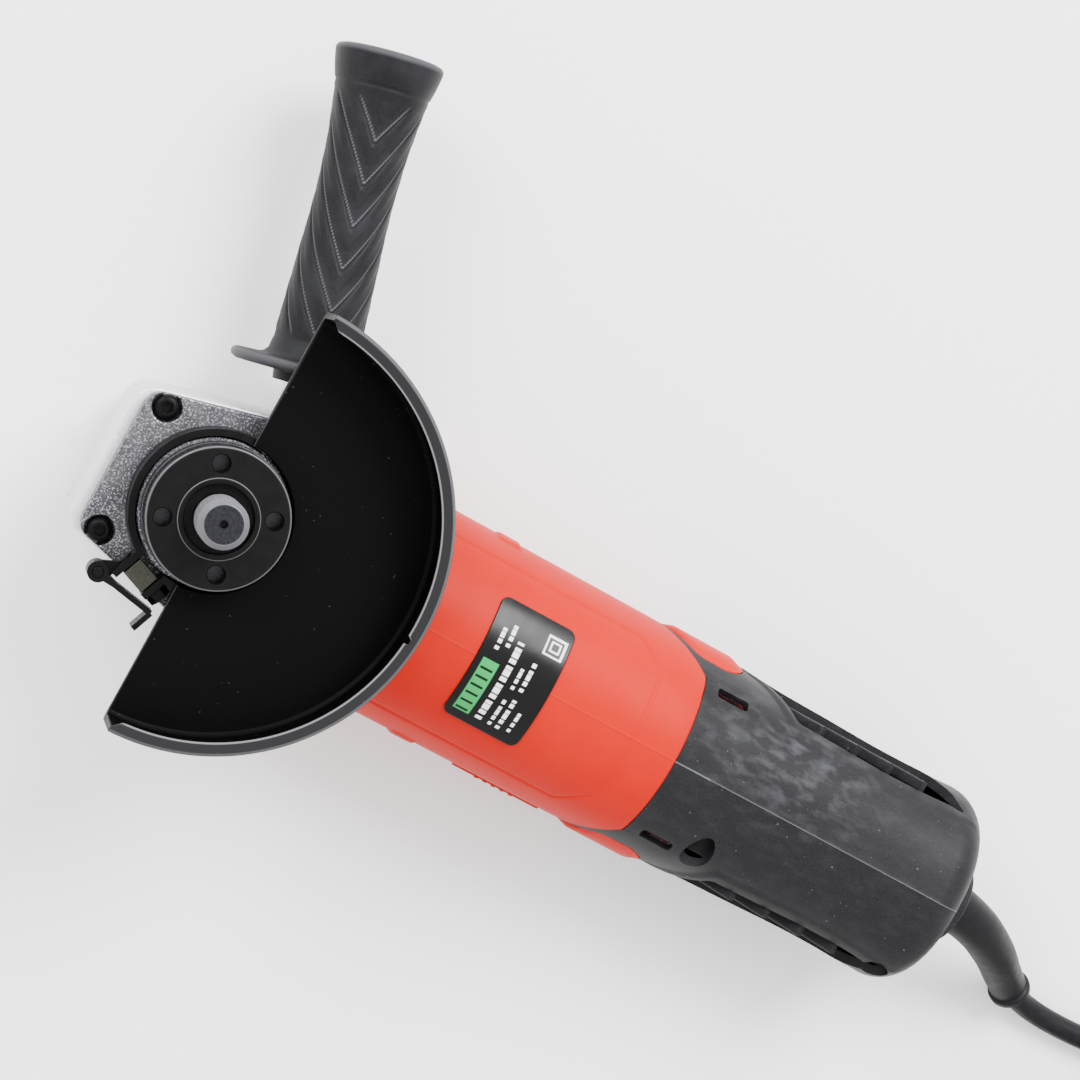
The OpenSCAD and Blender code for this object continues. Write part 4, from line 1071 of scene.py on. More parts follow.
def make_gear_case():
    """Cast gear case with softened edges, its plate on top and their screws."""
    casting("gear_case", "gear_case_casting", sizes().cast_round, 5, tumbled_aluminium())
    casting("bearing_cover", "cover_plate", 0.5, 3, shot_blasted_aluminium())
    up = Matrix.Identity(4)
    screws("cover_socket_screws", "cover_screws", up, 12)
    forward = Matrix.Rotation(-math.pi / 2, 4, "Y")
    screws("case_socket_screws", "case_screws", forward, 21)
    rounded_node("lock_button", 0.5, "lock_button", "black_plastic", plain("glass_filled_nylon"))


# ---------- spindle, flange and nut ----------


def make_spindle():
    """Spindle with a cut thread, blackened clamping flange and four-hole nut."""
    low, high = span("spindle")
    seat = span("inner_flange")[0][2]
    needle_high = span("needle_bearing")[1][2]
    ball_high = span("spindle_bearing")[1][2]
    thread_r = 7.0
    start = span("lock_nut")[1][2] - 1.5
    end = high[2] - 1.4
    depth = 0.95
    rows = [
        (0, low[2]), (4, low[2]), (4, needle_high + 1), (6, needle_high + 1), (6, ball_high + 0.4),
        (8.5, ball_high + 0.4), (8.5, seat), (thread_r, seat), (thread_r, start),
    ]
    sides = 72
    turn = 2 * math.pi * np.arange(sides) / sides
    rings = [level_ring(r, z, turn) for r, z in rows]
    for z in np.arange(start + 0.1, end, 0.16):
        fade = ease((z - start) / 1.5) * ease((end + 0.3 - z) / 1.2)
        phase = (z / sizes().thread_pitch - turn / (2 * math.pi)) % 1
        cut = depth * fade * (1 - np.clip(np.abs(phase - 0.5) * 2.6 - 0.15, 0, 1))
        rings.append(level_ring(thread_r - cut, z, turn))
    tip = [(thread_r, end), (thread_r - 0.15, end + 0.2), (thread_r - 1.3, high[2] - 0.1),
           (thread_r - 1.5, high[2]), (thread_r - 1.75, high[2]), (1.5, high[2]), (1.3, high[2]),
           (1.0, high[2] - 0.4), (1.0, high[2] - 3), (0, high[2] - 3.4)]
    rings += [level_ring(r, z, turn) for r, z in tip]
    piece = smooth(new_piece("threaded_spindle", *skin(rings, caps=False)), 30)
    where = coords(piece)
    radius = np.hypot(where[:, 0], where[:, 1])
    # painted highlights: the edge of the tip's chamfer and the thread crests
    edge = (np.abs(radius - (thread_r - 1.4)) < 0.15) & (where[:, 2] > end)
    crest = (radius > thread_r - 0.2) & (where[:, 2] > start + 1)
    set_painted_highlight(piece, np.where(edge, 0.35, np.where(crest, 0.4, 0.0)))
    settle(piece, "spindle", "machined_steel", hardened_steel(), "spindle")

    rounded_node("inner_flange", 0.3, "spindle", "zinc_steel", plain("blued_steel"), "clamp_flange")
    make_nut()


def make_nut():
    """Blackened nut with a raised hub ring and four spanner holes, with painted highlights on its rims."""
    low, high = span("lock_nut")
    rim, hub_top = high[0], high[2]
    top = hub_top - 0.8
    profile = [
        (7.1, low[2]), (rim - 0.5, low[2]), (rim, low[2] + 0.5), (rim, top - 0.6), (rim - 0.08, top - 0.3),
        (rim - 0.3, top - 0.08), (rim - 0.6, top), (rim - 0.9, top), (12.0, top), (11.6, top + 0.05),
        (11.5, top + 0.5), (11.35, hub_top - 0.1), (11.1, hub_top), (10.9, hub_top), (9.95, hub_top),
        (9.7, hub_top - 0.1), (9.6, hub_top - 0.4), (9.6, top - 1.2), (7.1, top - 1.2),
    ]
    nut = new_piece("spanner_nut", *lathe(profile, 144))
    for k in range(4):
        a = math.radians(SPANNER_ANGLE + 90 * k)
        ring = [(0, low[2] - 1), (2.5, low[2] - 1), (2.5, top - 0.35), (2.9, top + 0.3), (0, top + 0.3)]
        points, faces = lathe(ring, 32, closed=False)
        points = points + np.array([15.25 * math.cos(a), 15.25 * math.sin(a), 0])
        combine(nut, new_piece("spanner_hole", points, faces), "DIFFERENCE")
    smooth(nut, 34)
    where = coords(nut)
    radius = np.hypot(where[:, 0], where[:, 1])
    # painted highlights on the outer rim's top edge and the hub ring's edge
    outer = (radius > rim - 0.35) & (where[:, 2] > top - 0.45)
    hub = (np.abs(radius - 11.35) < 0.1) & (where[:, 2] > top + 0.6)
    set_painted_highlight(nut, np.where(outer, 0.2, np.where(hub, 0.22, 0.0)))
    settle(nut, "spindle", "black_oxide_steel", black_oxide_steel(), "lock_nut")


# ---------- guard ----------


def make_guard():
    """Pressed half guard with a rolled lip, its clamping band and quick lever."""
    low, high = span("guard_pan")
    outer = high[1]
    inner = low[0] + 21.8
    plate, lip = low[2], high[2]
    sheet = 2.0
    lip_w = 4.0
    lean = 0.35
    rings = []
    notch_at, notch_half = -4.0, 1.1
    angles = np.unique(np.concatenate([
        np.linspace(-90, 90, 145), [-89.7, -89.2, -88.2, 88.2, 89.2, 89.7],
        notch_at + np.array([-notch_half - 0.2, -notch_half, notch_half, notch_half + 0.2]),
    ]))
    for degrees in angles:
        near_end = 90 - abs(degrees)
        width = lip_w * (0.45 + 0.55 * ease(near_end / 3.0)) if near_end < 3 else lip_w
        thin = 0.25 if near_end < 0.2 else 0.0
        cut_in = 1.2 if abs(degrees - notch_at) < notch_half else 0.0
        profile = [
            (inner, plate + thin), (outer - 1.5, plate + thin), (outer, plate + 1.5),
            (outer - thin, lip - 1.1), (outer - 0.9, lip - thin), (outer - 1.5, lip - thin - 0.06),
            (outer - width + cut_in + 0.5, lip - lean + 0.06), (outer - width + cut_in, lip - lean - 0.05),
            (outer - width + cut_in, lip - sheet + 0.3),
            (outer - sheet + thin, lip - sheet - 0.2), (outer - sheet + thin, plate + sheet + 1.0),
            (outer - sheet - 1.2, plate + sheet - thin), (inner, plate + sheet - thin),
        ]
        eased = rounded(profile, 0.4, steps=2)
        a = math.radians(degrees)
        rings.append([(r * math.cos(a), r * math.sin(a), z) for r, z in eased])
    pan = smooth(new_piece("guard_shell", *skin(rings)), 40)
    where = coords(pan)
    radius = np.hypot(where[:, 0], where[:, 1])
    # painted highlights on the lip's outer and inner edges and on the cut ends; the whole lip is tinted a
    # faint grey
    on_lip = (where[:, 2] > lip - 1.6) & (radius > outer - lip_w - 0.3)
    edge = on_lip & (np.abs(radius - (outer - 0.6)) < 0.35)
    inside = on_lip & (np.abs(radius - (outer - lip_w + 0.1)) < 0.25) & (where[:, 2] > lip - 0.9)
    cut = (where[:, 0] < 0.25) & (where[:, 2] > plate + sheet - 0.5)
    highlight_by = np.where(on_lip, 0.05, 0.0)
    highlight_by = np.where(edge, 0.22, highlight_by)
    highlight_by = np.where(inside, 0.5, highlight_by)
    highlight_by = np.where(cut, 0.1, highlight_by)
    set_painted_highlight(pan, highlight_by)
    settle(pan, "guard", "black_enamel_steel", stoved_enamel(), "guard_pan")

    rounded_node("guard_band", 0.3, "guard", "black_enamel_steel", black_oxide_steel(), "clamp_band")
    rounded_node("band_bolt", 0.3, "guard", "zinc_steel", black_oxide_steel(), "band_screw")
    rounded_node("band_block", 0.4, "guard", "zinc_steel", plain("tumbled_zinc_block"), "band_barrel")
    rounded_node("lever_pin", 0.3, "guard", "zinc_steel", black_oxide_steel(), "lever_rivet")
    rounded_node("clamp_lever", 0.25, "lever", "black_enamel_steel", black_oxide_steel(), "quick_lever")


# ---------- side handle ----------


def make_side_handle():
    """Rubber grip with chevrons round it, thin flange and flared end, on its stud."""
    lean = math.radians(WALL_ANGLE)
    wall = np.array([-math.sin(lean), math.cos(lean), 0])
    start = 13.0
    stop = start + 95.0
    base = [(start - 3, 0.0), (start - 3, 10.0), (start, 10.4), (start + 0.1, 21.8), (start + 0.9, 23.2),
            (start + 1.9, 23.5), (start + 2.9, 23.2), (start + 3.4, 22.3), (start + 3.6, 16.0),
            (start + 4.1, 14.4), (start + 5.3, 13.3), (start + 8.0, 12.8)]
    shape_z = [start + 11, start + 30, start + 55, stop - 22, stop - 12, stop - 5, stop - 2.2]
    shape_r = [12.5, 11.9, 11.3, 12.3, 13.7, 15.4, 15.9]
    body_z = np.concatenate([np.arange(start + 9, stop - 2.3, 0.42), [stop - 2.2]])
    body_r = np.array([smooth_through(shape_z, shape_r, z) for z in body_z])
    end = [(stop - 1.2, 15.9), (stop - 0.4, 15.3), (stop - 0.05, 14.2), (stop - 0.1, 13.0),
           (stop - 0.9, 12.0), (stop - 1.1, 6.0), (stop - 1.1, 0.0)]
    sides = 150
    turn = 2 * math.pi * np.arange(sides) / sides
    # marks hold painted highlights: the flange's rim, a thin line along each chevron's edge and the rim of
    # the flared end
    rings, marks = [], []
    for z, r in base:
        rings.append(level_ring(r, z, turn))
        marks.append(np.full(sides, 0.12 if r > 22.5 else 0.0))
    spread = np.abs((turn % math.pi) - math.pi / 2)
    pitch, depth = sizes().chevron_pitch, sizes().chevron_depth
    for z, r in zip(body_z, body_r):
        arm = (z - spread * 12.0 / math.tan(math.radians(31)) - start) / pitch
        part = arm % 1.0
        fade = ease((z - start - 10) / 3) * ease((stop - 13 - z) / 4)
        groove = np.exp(-(((part - 0.5) / 0.055) ** 2))
        ridge = np.exp(-(((part - 0.60) / 0.05) ** 2))
        ring_line = math.exp(-(((z - (stop - 10.5)) / 0.5) ** 2))
        offset = depth * fade * (0.35 * ridge - groove + 0.28 * (1 - part)) - 0.3 * ring_line
        rings.append(level_ring(r + offset, z, turn))
        marks.append(0.3 * fade * np.exp(-(((part - 0.585) / 0.025) ** 2)))
    for z, r in end:
        rings.append(level_ring(r, z, turn))
        marks.append(np.full(sides, 0.1 if abs(r - 15.3) < 0.7 else 0.0))
    points, faces = skin(rings, caps=False)
    turned = np.eye(4)
    turned[:3, 2] = wall
    turned[:3, 1] = (0, 0, 1)
    turned[:3, 0] = np.cross(turned[:3, 1], wall)
    turned[:3, 3] = (*HANDLE_FOOT, AXIS_H)
    grip = new_piece("grip_moulding", placed(points, turned), faces)
    keep_marks(grip, placed(points, turned), np.concatenate(marks))
    settle(smooth(grip, 50), "root", "grip_rubber", grip_rubber(), "side_handle_grip")
    rounded_node("side_handle_stud", 0.3, "root", "zinc_steel", plain("zinc_plated_steel"), "handle_stud")


def keep_marks(piece, points, marks):
    """Stores painted-highlight values on the merged mesh by the nearest of the points that they were given
    for.
    """
    tree = KDTree(len(points))
    for i, p in enumerate(points):
        tree.insert(p, i)
    tree.balance()
    set_painted_highlight(piece, [marks[tree.find(p)[1]] for p in coords(piece)])


def smooth_through(xs, ys, x):
    """Value at x of the smooth curve through the given places."""
    xs, ys = np.asarray(xs, float), np.asarray(ys, float)
    slopes = np.gradient(ys, xs)
    i = int(np.clip(np.searchsorted(xs, x) - 1, 0, len(xs) - 2))
    h = xs[i + 1] - xs[i]
    t = np.clip((x - xs[i]) / h, 0, 1)
    return (
        (1 + 2 * t) * (1 - t) ** 2 * ys[i] + t * (1 - t) ** 2 * h * slopes[i]
        + t * t * (3 - 2 * t) * ys[i + 1] + t * t * (t - 1) * h * slopes[i + 1]
    )


# ---------- motor housing ----------

# inset panel: its ends along X and its edge in degrees from the top
PANEL_X = (54.0, 137.5)
PANEL_SPREAD = 54.0
# V notches in the rear edge
NOTCH_DEPTH = 18.5
NOTCH_HALF = 21.5


def housing_relief(x, angle):
    """Height of the housing's surface over its plain cylinder, by x and degrees from the top."""
    arc = math.radians(abs(angle)) * HOUSING_R
    side = arc - math.radians(PANEL_SPREAD) * HOUSING_R
    ends = abs(x - sum(PANEL_X) / 2) - (PANEL_X[1] - PANEL_X[0]) / 2
    corner = (side + ends + sizes().panel_chamfer) / math.sqrt(2)
    away = max(side, ends, corner)
    groove = -sizes().panel_depth * math.exp(-((away / 0.5) ** 2))
    panel = -0.14 * ease(-away / 0.8)
    seam = 0.1 * math.exp(-((arc / 0.28) ** 2))
    pad = 0.7 * ease((4.2 - abs(x - 83.5)) / 1.0) * ease((7 - abs(abs(angle) - 82)) / 1.5)
    rim = -0.45 * ease(1 - (REAR_X - x) / 0.7) - 0.45 * ease(1 - (x - JOINT_X) / 0.7)
    return groove + panel + seam + pad + rim


def make_housing():
    """Red housing with an inset panel, seam and V notches, round the CAD housing's inner frame."""
    x_rows = np.unique(np.round(np.concatenate([
        np.arange(JOINT_X, REAR_X, 4), np.arange(52, 66, 0.5), np.arange(78.5, 89, 0.75),
        np.arange(126, 140, 0.5), [JOINT_X, JOINT_X + 0.25, JOINT_X + 0.7],
        [REAR_X - 0.7, REAR_X - 0.25, REAR_X],
    ]), 3))
    half = np.unique(np.round(np.concatenate([
        np.arange(0, 180.1, 4), np.arange(38, 61, 0.8), [0.25, 0.5, 0.9, 1.6], np.arange(73, 92, 1.5),
    ]), 3))
    angles = np.unique(np.concatenate([-half[half < 180], half[half < 180], [180.0]]))
    turn = np.radians(angles)

    def section(x, r):
        return np.c_[np.full(len(turn), x), r * np.sin(turn), AXIS_H + r * np.cos(turn)]

    rings = [section(x, np.array([HOUSING_R + housing_relief(x, a) for a in angles])) for x in x_rows]
    rings += [section(x, HOUSING_R - HOUSING_WALL) for x in (REAR_X, JOINT_X)]
    rings.append(rings[0])
    shell = new_piece("housing_moulding", *skin(rings, caps=False))
    combine(shell, notch_cutter(0.0), "DIFFERENCE")
    for side in (-1, 1):
        combine(shell, brush_opening(side), "DIFFERENCE")
    combine(shell, switch_slot(), "DIFFERENCE")
    core = cad_copy("motor_housing", "core")
    rod = [(0, 0), (HOUSING_R - 1.2, 0), (HOUSING_R - 1.2, 200), (0, 200)]
    combine(core, new_piece("limit", *lathe(rod, 96, False, along_motor(20))), "INTERSECT")
    combine(shell, core, "UNION")
    settle(smooth(shell, 40), "root", "red_plastic", moulded_nylon(), "motor_housing")


def side_plane():
    """Matrix that lays an outline of X and height over the axis across Y."""
    return Matrix([[1, 0, 0, 0], [0, 0, -1, 0], [0, 1, 0, AXIS_H], [0, 0, 0, 1]])


def notch_cutter(margin, reach=9.0):
    """Prism of the V notches in both sides of the housing's rear edge."""
    tip = REAR_X - NOTCH_DEPTH - margin
    rise = NOTCH_HALF + margin
    outline = [(tip, 0), (REAR_X, -rise), (REAR_X + reach, -rise), (REAR_X + reach, rise), (REAR_X, rise)]
    return new_piece("notch", *prism(rounded(outline, 1.2), -HOUSING_R - 9, HOUSING_R + 9, side_plane()))


def leaf_half_height(share):
    """Half height of a brush cover at a share of its length: pointed in front, blunt behind."""
    stations = [0.0, 0.07, 0.36, 0.46, 0.74, 0.84, 0.95, 1.0]
    heights = [0.6, 3.2, 12.4, 13.4, 13.4, 12.4, 9.6, 6.4]
    return float(np.interp(share, stations, heights))


def leaf_outline(margin):
    """Outline of the opening for a brush cover in the side of the tool."""
    low, high = span("brush_cover_right")
    shares = np.linspace(0, 1, 29)
    xs = low[0] - margin + shares * (high[0] - low[0] + 2 * margin)
    upper = [(x, leaf_half_height(s) + margin) for x, s in zip(xs, shares)]
    return upper + [(x, -h) for x, h in upper[::-1]]


def brush_opening(side):
    """Block where a brush holder reaches through the housing."""
    x = middle("brush_holders")[0]
    outline = [(x - 5.1, -6.1), (x + 5.1, -6.1), (x + 5.1, 6.1), (x - 5.1, 6.1)]
    return new_piece("opening", *prism(outline, side * 20, side * 45, side_plane()))


def switch_frame():
    """Matrix at the slide switch: X along the motor, Y across the slot, Z away from the axis."""
    a = math.radians(200)
    out = (0, math.cos(a), math.sin(a))
    across = (0, -math.sin(a), math.cos(a))
    return Matrix([
        [1, 0, 0, 0], [0, across[1], out[1], 0], [0, across[2], out[2], AXIS_H], [0, 0, 0, 1],
    ])


def switch_slot():
    """Slot with round ends that the slide button's foot travels in."""
    low, high = span("slide_button")
    front = (low[0] + high[0]) / 2 - 14
    outline = rounded([(front, -2.6), (front + 20, -2.6), (front + 20, 2.6), (front, 2.6)], 1.6)
    return new_piece("slot", *prism(outline, 27, 40, switch_frame()))


def make_brush_covers():
    """Leaf-shaped covers over the carbon brushes, crowned and let into both sides."""
    low, high = span("brush_cover_right")
    xs = np.linspace(low[0], high[0], 41)
    for side, name in ((1, "right"), (-1, "left")):
        rings = []
        for i, x in enumerate(xs):
            reach = leaf_half_height(i / 40)
            top, bottom = [], []
            for v in np.linspace(-1, 1, 17):
                z = v * reach
                crown = 1.3 * (1 - abs(v) ** 4) * min(1, 7 * i / 40, 7 * (1 - i / 40)) - 0.1
                edge = HOUSING_R + crown
                top.append((x, side * math.sqrt(edge ** 2 - z * z), AXIS_H + z))
                base = HOUSING_R - 1.6
                bottom.append((x, side * math.sqrt(base ** 2 - z * z), AXIS_H + z))
            rings.append(top + bottom[::-1])
        points, faces = skin(rings)
        piece = smooth(new_piece("brush_leaf_" + name, points, faces), 45)
        settle(piece, "root", "red_plastic", moulded_nylon(), "brush_cover_" + name)


def make_label():
    """Glossy rating label: round-cornered film bent over the housing, printed with plain blocks."""
    low, high = span("rating_label")
    length = high[0] - low[0]
    half_arc = math.radians(34.5) * HOUSING_R
    corner = 2.6
    columns, rows = 99, 160
    points, inks = [], []
    radius = high[2] - AXIS_H
    for k in range(rows + 1):
        s = -half_arc + 2 * half_arc * k / rows
        gap = half_arc - abs(s)
        trim = corner - math.sqrt(max(corner ** 2 - max(corner - gap, 0) ** 2, 0))
        for i in range(columns + 1):
            x = low[0] + trim + (length - 2 * trim) * i / columns
            a = s / HOUSING_R
            points.append((x, radius * math.sin(a), AXIS_H + radius * math.cos(a)))
            inks.append(label_ink(x - low[0], half_arc + s, length, 2 * half_arc))
    faces = [
        (k * (columns + 1) + i, k * (columns + 1) + i + 1, (k + 1) * (columns + 1) + i + 1,
         (k + 1) * (columns + 1) + i)
        for k in range(rows) for i in range(columns)
    ]
    film = new_piece("label_film", points, faces)
    ink = film.data.color_attributes.new("print", "FLOAT_COLOR", "POINT")
    ink.data.foreach_set("color", np.array(inks, np.float32).ravel())
    thick = film.modifiers.new("film", "SOLIDIFY")
    thick.thickness = 0.25 * MM
    thick.offset = -1
    bake_down(film)
    film.data.shade_smooth()
    settle(film, "root", "label_film", printed_film(), "rating_label")


def label_ink(x, y, length, height):
    """Colour of the label's print: a block with bars, rows of dashes and two nested squares."""
    black, white, green = list(colours().label), shown("#E4E4E4"), list(colours().label_block)
    if 2.0 < x < 7.2 and 3.0 < y < 20.5:
        inside = 2.7 < x < 6.5 and 3.7 < y < 19.8
        bar = inside and (y - 3.7) % 2.7 < 0.7
        return black if bar else green
    square = max(abs(x - 20.0), abs(y - 32.2))
    if 2.5 < square < 3.1 or 1.1 < square < 1.6:
        return white
    for row, (left, width, start, stop) in enumerate([
        (9.3, 2.0, 3.4, 29.0), (13.4, 1.2, 3.4, 12.2), (16.0, 1.2, 3.4, 13.6), (13.4, 1.2, 16.0, 23.5),
        (16.0, 1.2, 16.5, 25.5), (3.6, 1.2, 24.0, 31.0), (6.3, 1.2, 26.0, 33.0), (19.4, 1.0, 4.2, 11.0),
    ]):
        if left < x < left + width and start < y < stop:
            dash = 1.2 + 0.5 * ((row * 3 + int((y - start) / 1.9)) % 3)
            return white if (y - start) % 1.9 < dash * 0.75 else black
    return black


# ---------- rear handle ----------

# air inlets: ends behind the housing, middle height over the axis, half height and slant
VENT_X = (19.0, 80.0)
VENT_MID = 4.0
VENT_HALF = 15.0
VENT_TILT = 35.0
# screws: distance behind the housing, height over the axis, half length of the tower
SCREW_SPOTS = [(22.5, -24.0, 21.6), (22.5, 24.0, 21.6), (86.0, -20.0, 24.0), (92.0, 18.0, 26.4)]


def handle_half(share, axis):
    """Half width (axis 0) or half height (axis 1) of the handle at a share of its length."""
    waist = [(0, 33.0, 33.0), (0.12, 32.4, 32.7), (0.25, 31.5, 32.2), (0.45, 31.2, 31.7),
             (0.65, 31.0, 31.7), (0.8, 31.4, 32.5), (0.9, 32.0, 34.0)]
    if share > 0.9:
        full = waist[-1][1 + axis]
        fall = (12.0, 14.0)[axis]
        return full - fall * (1 - math.sqrt(max(0.0, 1 - ((share - 0.9) / 0.1) ** 2)))
    return smooth_through([w[0] for w in waist], [w[1 + axis] for w in waist], share)


def handle_ring(share, wall, sides, detail):
    """One section of the handle: a squared oval with a crease at its seams and vent frames."""
    x = REAR_X + share * HANDLE_LEN
    width, height = handle_half(share, 0) - wall, handle_half(share, 1) - wall
    power = 2 / (2 + 0.25 * ease(share / 0.2))
    turn = 2 * math.pi * np.arange(sides) / sides
    if detail:
        near = np.array([0.003, 0.006, 0.01, 0.015])
        seams = [seam + sign * near for seam in (math.pi / 2, math.pi * 1.5) for sign in (-1, 1)]
        turn = np.sort(np.concatenate([turn, *seams]))
    c, s = np.cos(turn), np.sin(turn)
    y = width * np.sign(c) * np.abs(c) ** power
    z = height * np.sign(s) * np.abs(s) ** power
    if detail:
        drop = sizes().crease * ease(share / 0.12) * ease((1 - share) / 0.1)
        z = z - np.sign(z) * drop * (1 - np.exp(-np.abs(y) / 5)) * np.abs(s)
        ridge = 0.2 * np.exp(-((y / 0.22) ** 2)) * ease(share / 0.05)
        z = z + np.sign(s) * (ridge - 0.2) * np.abs(s)
        slid = x - z * math.tan(math.radians(VENT_TILT)) - REAR_X
        ends = np.abs(slid - sum(VENT_X) / 2) - (VENT_X[1] - VENT_X[0]) / 2
        away = np.maximum(ends, np.abs(z - VENT_MID) - VENT_HALF)
        frame_h = sizes().vent_frame * (1 - 0.6 * ease((slid - VENT_X[0]) / 60))
        raise_by = frame_h * ease(1 - (away - 2.6) / 0.9) * (np.abs(c) > 0.3)
        sink = 0.8 * np.exp(-(((x - REAR_X - 92) ** 2 + (z - 18) ** 2) / 14)) * (c > 0)
        y = y + np.sign(c) * (raise_by - sink)
    return np.c_[np.full(len(turn), x), y, AXIS_H + z]


def handle_solid(name, wall, sides, rows, detail):
    """Closed loft of the handle, set in by a wall."""
    shares = np.unique(np.concatenate([np.linspace(0, 0.9, rows), 0.9 + 0.1 * np.sin(
        np.linspace(0, math.pi / 2, 14))]))
    rings = [handle_ring(s, wall, sides, detail) for s in shares]
    if wall:
        for ring, share in zip(rings, shares):
            ring[:, 0] -= wall * ease((share - 0.7) / 0.3)
        rings[0][:, 0] -= 1
    return new_piece(name, *skin(rings))


def cylinder_y(name, x, z, radius, low, high, sides=40):
    """Cylinder across the handle at a distance from the housing and a height over the axis."""
    turn = 2 * math.pi * np.arange(sides) / sides
    outline = [(REAR_X + x + radius * math.cos(a), z + radius * math.sin(a)) for a in turn]
    points, faces = prism(outline, -high, -low, side_plane())
    return new_piece(name, points, faces)


def make_rear_handle():
    """Black handle in two halves: framed vents, seam crease, slots, screw pockets and collar."""
    body = handle_solid("handle_body", 0, 240, 96, True)
    hollow = handle_solid("hollow", SHELL_WALL, 80, 24, False)
    combine(body, hollow, "DIFFERENCE")
    for x, z, reach in SCREW_SPOTS:
        tower = cylinder_y("tower", x, z, 6.0, -reach, reach)
        combine(tower, handle_solid("limit", 2.0, 80, 24, False), "INTERSECT")
        combine(body, tower, "UNION")
    combine(body, make_wings(), "UNION")
    collar = rounded([(9.0, -6), (14.2, -6), (14.2, 3.2), (13.0, COLLAR_REACH), (9.0, COLLAR_REACH)], 0.8)
    combine(body, new_piece("collar", *lathe(collar, 96, matrix=along_motor(HANDLE_END))), "UNION")
    for low, high in ((VENT_MID - VENT_HALF, -1.3), (1.1, VENT_MID + VENT_HALF)):
        lean = math.tan(math.radians(VENT_TILT))
        first, last = REAR_X + VENT_X[0], REAR_X + VENT_X[1]
        window = [(first + lean * high, high), (last + lean * high, high), (last + lean * low, low),
                  (first + lean * low, low)]
        window = prism(rounded(window, 1.6), -60, 60, side_plane())
        combine(body, new_piece("window", *window), "DIFFERENCE")
    for degrees in (44, 136):
        combine(body, small_slot(degrees), "DIFFERENCE")
    for x, z, _ in SCREW_SPOTS:
        combine(body, cylinder_y("pocket", x, z, 4.3, -60, -9), "DIFFERENCE")
        combine(body, cylinder_y("hole", x, z, 2.25, -60, 12, 24), "DIFFERENCE")
    bore = [(0, -30), (9.0, -30), (9.0, 9), (0, 9)]
    combine(body, new_piece("bore", *lathe(bore, 64, False, along_motor(HANDLE_END))), "DIFFERENCE")
    combine(body, new_piece("leaf", *prism(leaf_outline(0.3), -60, 60, side_plane())), "DIFFERENCE")
    sides = ((1, "right"), (-1, "left"))
    for side, name in sides:
        half = link("handle_half_" + name, body.data.copy())
        box = [(100, -60), (300, -60), (300, 60), (100, 60)]
        low, high = (-60, -SEAM_GAP / 2) if side > 0 else (SEAM_GAP / 2, 60)
        combine(half, new_piece("keep", *prism(box, low, high, side_plane())), "INTERSECT")
        smooth(half, 34)
        where = coords(half)
        # painted highlight along the seam ridge on top of the handle
        ridge = (np.abs(where[:, 1]) < 0.15) & (where[:, 2] > AXIS_H + 28) & (where[:, 0] < HANDLE_END - 2)
        set_painted_highlight(half, np.where(ridge, 0.4, 0.0))
        settle(half, "root", "black_plastic", dusty_sheened_nylon(), "rear_handle_" + name)
    bpy.data.objects.remove(body)
    pitch = (VENT_X[1] - VENT_X[0]) / 5
    for side, name in sides:
        level = handle_half(0.45, 0) - 3.4
        place = Matrix([
            [1, 0, 0, REAR_X + VENT_X[0] + pitch], [0, 0, side, side * level],
            [0, 1, 0, AXIS_H + VENT_MID], [0, 0, 0, 1],
        ])
        bars = row_of_bars("vent_bars_" + name, 4, pitch, 2.6, 3.4, 34, -VENT_TILT, dusty_sheened_nylon(), place)
        settle(bars, "root", "black_plastic", dusty_sheened_nylon())
    outward = Matrix.Rotation(math.pi / 2, 4, "X")
    screws("handle_socket_screws", "handle_screws", outward, 18)


def make_wings():
    """The handle's two front wings, which fill the notches in the housing's sides."""
    r_out, r_in = HOUSING_R - 0.05, HOUSING_R - 2.8
    ring = [(r_in, 0), (r_out, 0), (r_out, NOTCH_DEPTH + 3.5), (r_in, NOTCH_DEPTH + 3.5)]
    wings = new_piece("wings", *lathe(ring, 160, matrix=along_motor(REAR_X - NOTCH_DEPTH - 1)))
    return combine(wings, notch_cutter(-0.3, 2.5), "INTERSECT")


def small_slot(degrees):
    """Slot with round ends beside the seam."""
    a = math.radians(degrees)
    frame_at = Matrix([
        [1, 0, 0, REAR_X + 4.5], [0, -math.sin(a), math.cos(a), 0], [0, math.cos(a), math.sin(a), AXIS_H],
        [0, 0, 0, 1],
    ])
    outline = rounded([(0, -1.8), (10.5, -1.8), (10.5, 1.8), (0, 1.8)], 1.1)
    return new_piece("small_slot", *prism(outline, 24, 45, frame_at))


# ---------- pieces that keep their CAD shape ----------

KEPT_NODES = {
    "ground_bearing_steel": [
        "needle_bearing", "spindle_bearing", "front_motor_bearing", "rear_motor_bearing",
    ],
    "turned_steel": ["armature_shaft", "switch_rod"],
    "phosphated_gear_steel": ["bevel_gear", "pinion"],
    "zinc_plated_steel": ["bearing_retainer", "pinion_nut", "clamp_screws"],
    "drawn_spring_steel": ["lock_spring", "brush_springs"],
    "stacked_electrical_steel": ["armature_core", "stator_core"],
    "enamelled_copper_wire": ["armature_windings", "stator_windings"],
    "rubbed_copper": ["commutator"],
    "pressed_brass": ["brush_holders"],
    "pressed_carbon": ["carbon_brushes"],
    "glass_filled_nylon": ["cooling_fan", "air_baffle", "switch_unit", "cord_clamp"],
    "nitrile_rubber": ["spindle_seal"],
    "polyester_film": ["capacitor"],
}


def coat_inner_parts():
    """Gives every piece that keeps its CAD shape its own finish."""
    for finish, nodes in KEPT_NODES.items():
        for name in nodes:
            set_coat(name, plain(finish))
    set_coat("lead_wires", wire_sheath())


def set_coat(node, material):
    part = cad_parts[node]
    part.data.materials.clear()
    part.data.materials.append(material)


# ---------- operators ----------


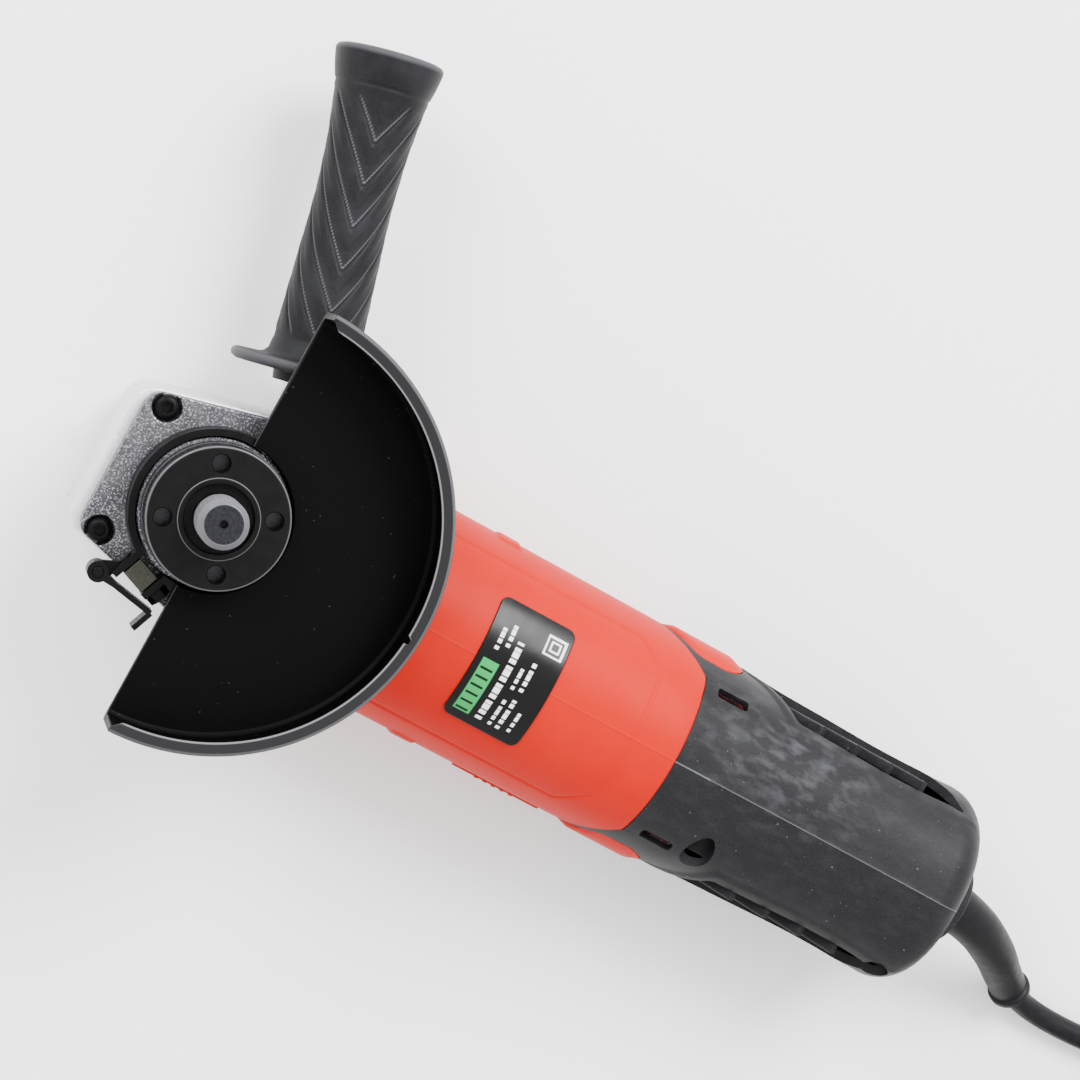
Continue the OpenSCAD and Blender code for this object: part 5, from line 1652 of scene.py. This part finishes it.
class GRINDER_OT_stage(bpy.types.Operator):
    """Sets the floor, the studio light and the camera"""

    bl_idname = "grinder.stage"
    bl_label = "Stage"

    def execute(self, context):
        make_stage()
        return {"FINISHED"}


class GRINDER_OT_cord(bpy.types.Operator):
    """Lays the power cord, its strain relief, coil, strap and plug"""

    bl_idname = "grinder.cord"
    bl_label = "Cord and plug"

    def execute(self, context):
        make_cord()
        return {"FINISHED"}


class GRINDER_OT_gear_case(bpy.types.Operator):
    """Casts the gear case, its cover and their screws"""

    bl_idname = "grinder.gear_case"
    bl_label = "Gear case"

    def execute(self, context):
        make_gear_case()
        return {"FINISHED"}


class GRINDER_OT_spindle(bpy.types.Operator):
    """Turns the spindle, its flange and its nut"""

    bl_idname = "grinder.spindle"
    bl_label = "Spindle and nut"

    def execute(self, context):
        make_spindle()
        return {"FINISHED"}


class GRINDER_OT_guard(bpy.types.Operator):
    """Presses the guard, its band and its lever"""

    bl_idname = "grinder.guard"
    bl_label = "Guard"

    def execute(self, context):
        make_guard()
        return {"FINISHED"}


class GRINDER_OT_side_handle(bpy.types.Operator):
    """Moulds the side handle on its stud"""

    bl_idname = "grinder.side_handle"
    bl_label = "Side handle"

    def execute(self, context):
        make_side_handle()
        return {"FINISHED"}


class GRINDER_OT_housing(bpy.types.Operator):
    """Moulds the motor housing, its brush covers, label and slide switch"""

    bl_idname = "grinder.housing"
    bl_label = "Motor housing"

    def execute(self, context):
        make_housing()
        make_brush_covers()
        make_label()
        rounded_node("slide_button", 0.3, "slide_switch", "red_plastic", moulded_nylon(), "thumb_slide")
        return {"FINISHED"}


class GRINDER_OT_rear_handle(bpy.types.Operator):
    """Moulds both halves of the rear handle, with vent bars and screws"""

    bl_idname = "grinder.rear_handle"
    bl_label = "Rear handle"

    def execute(self, context):
        make_rear_handle()
        return {"FINISHED"}


class GRINDER_OT_inner_parts(bpy.types.Operator):
    """Gives the gears, bearings, motor and wiring their finishes"""

    bl_idname = "grinder.inner_parts"
    bl_label = "Inner parts"

    def execute(self, context):
        coat_inner_parts()
        return {"FINISHED"}


STEPS = [
    GRINDER_OT_stage, GRINDER_OT_cord, GRINDER_OT_gear_case, GRINDER_OT_spindle, GRINDER_OT_guard,
    GRINDER_OT_side_handle, GRINDER_OT_housing, GRINDER_OT_rear_handle, GRINDER_OT_inner_parts,
]


class GRINDER_PT_panel(bpy.types.Panel):
    """Lists the steps that build the grinder"""

    bl_label = "Angle grinder"
    bl_space_type = "VIEW_3D"
    bl_region_type = "UI"
    bl_category = "Grinder"

    def draw(self, context):
        for step in STEPS:
            self.layout.operator(step.bl_idname)
        for name in GROUPS:
            group = getattr(context.scene, name)
            box = self.layout.box()
            for key in group.__annotations__:
                box.prop(group, key)


GROUPS = {
    "grinder_sizes": GRINDER_PG_sizes, "grinder_colours": GRINDER_PG_colours,
    "grinder_stage": GRINDER_PG_stage,
}
CLASSES = [*GROUPS.values(), *STEPS, GRINDER_PT_panel]


def register():
    for item in CLASSES:
        bpy.utils.register_class(item)
    for name, group in GROUPS.items():
        setattr(bpy.types.Scene, name, PointerProperty(type=group))


def unregister():
    for name in GROUPS:
        delattr(bpy.types.Scene, name)
    for item in reversed(CLASSES):
        bpy.utils.unregister_class(item)


def main():
    register()
    for step in STEPS:
        group, name = step.bl_idname.split(".")
        getattr(getattr(bpy.ops, group), name)()


if __name__ == "__main__":
    main()
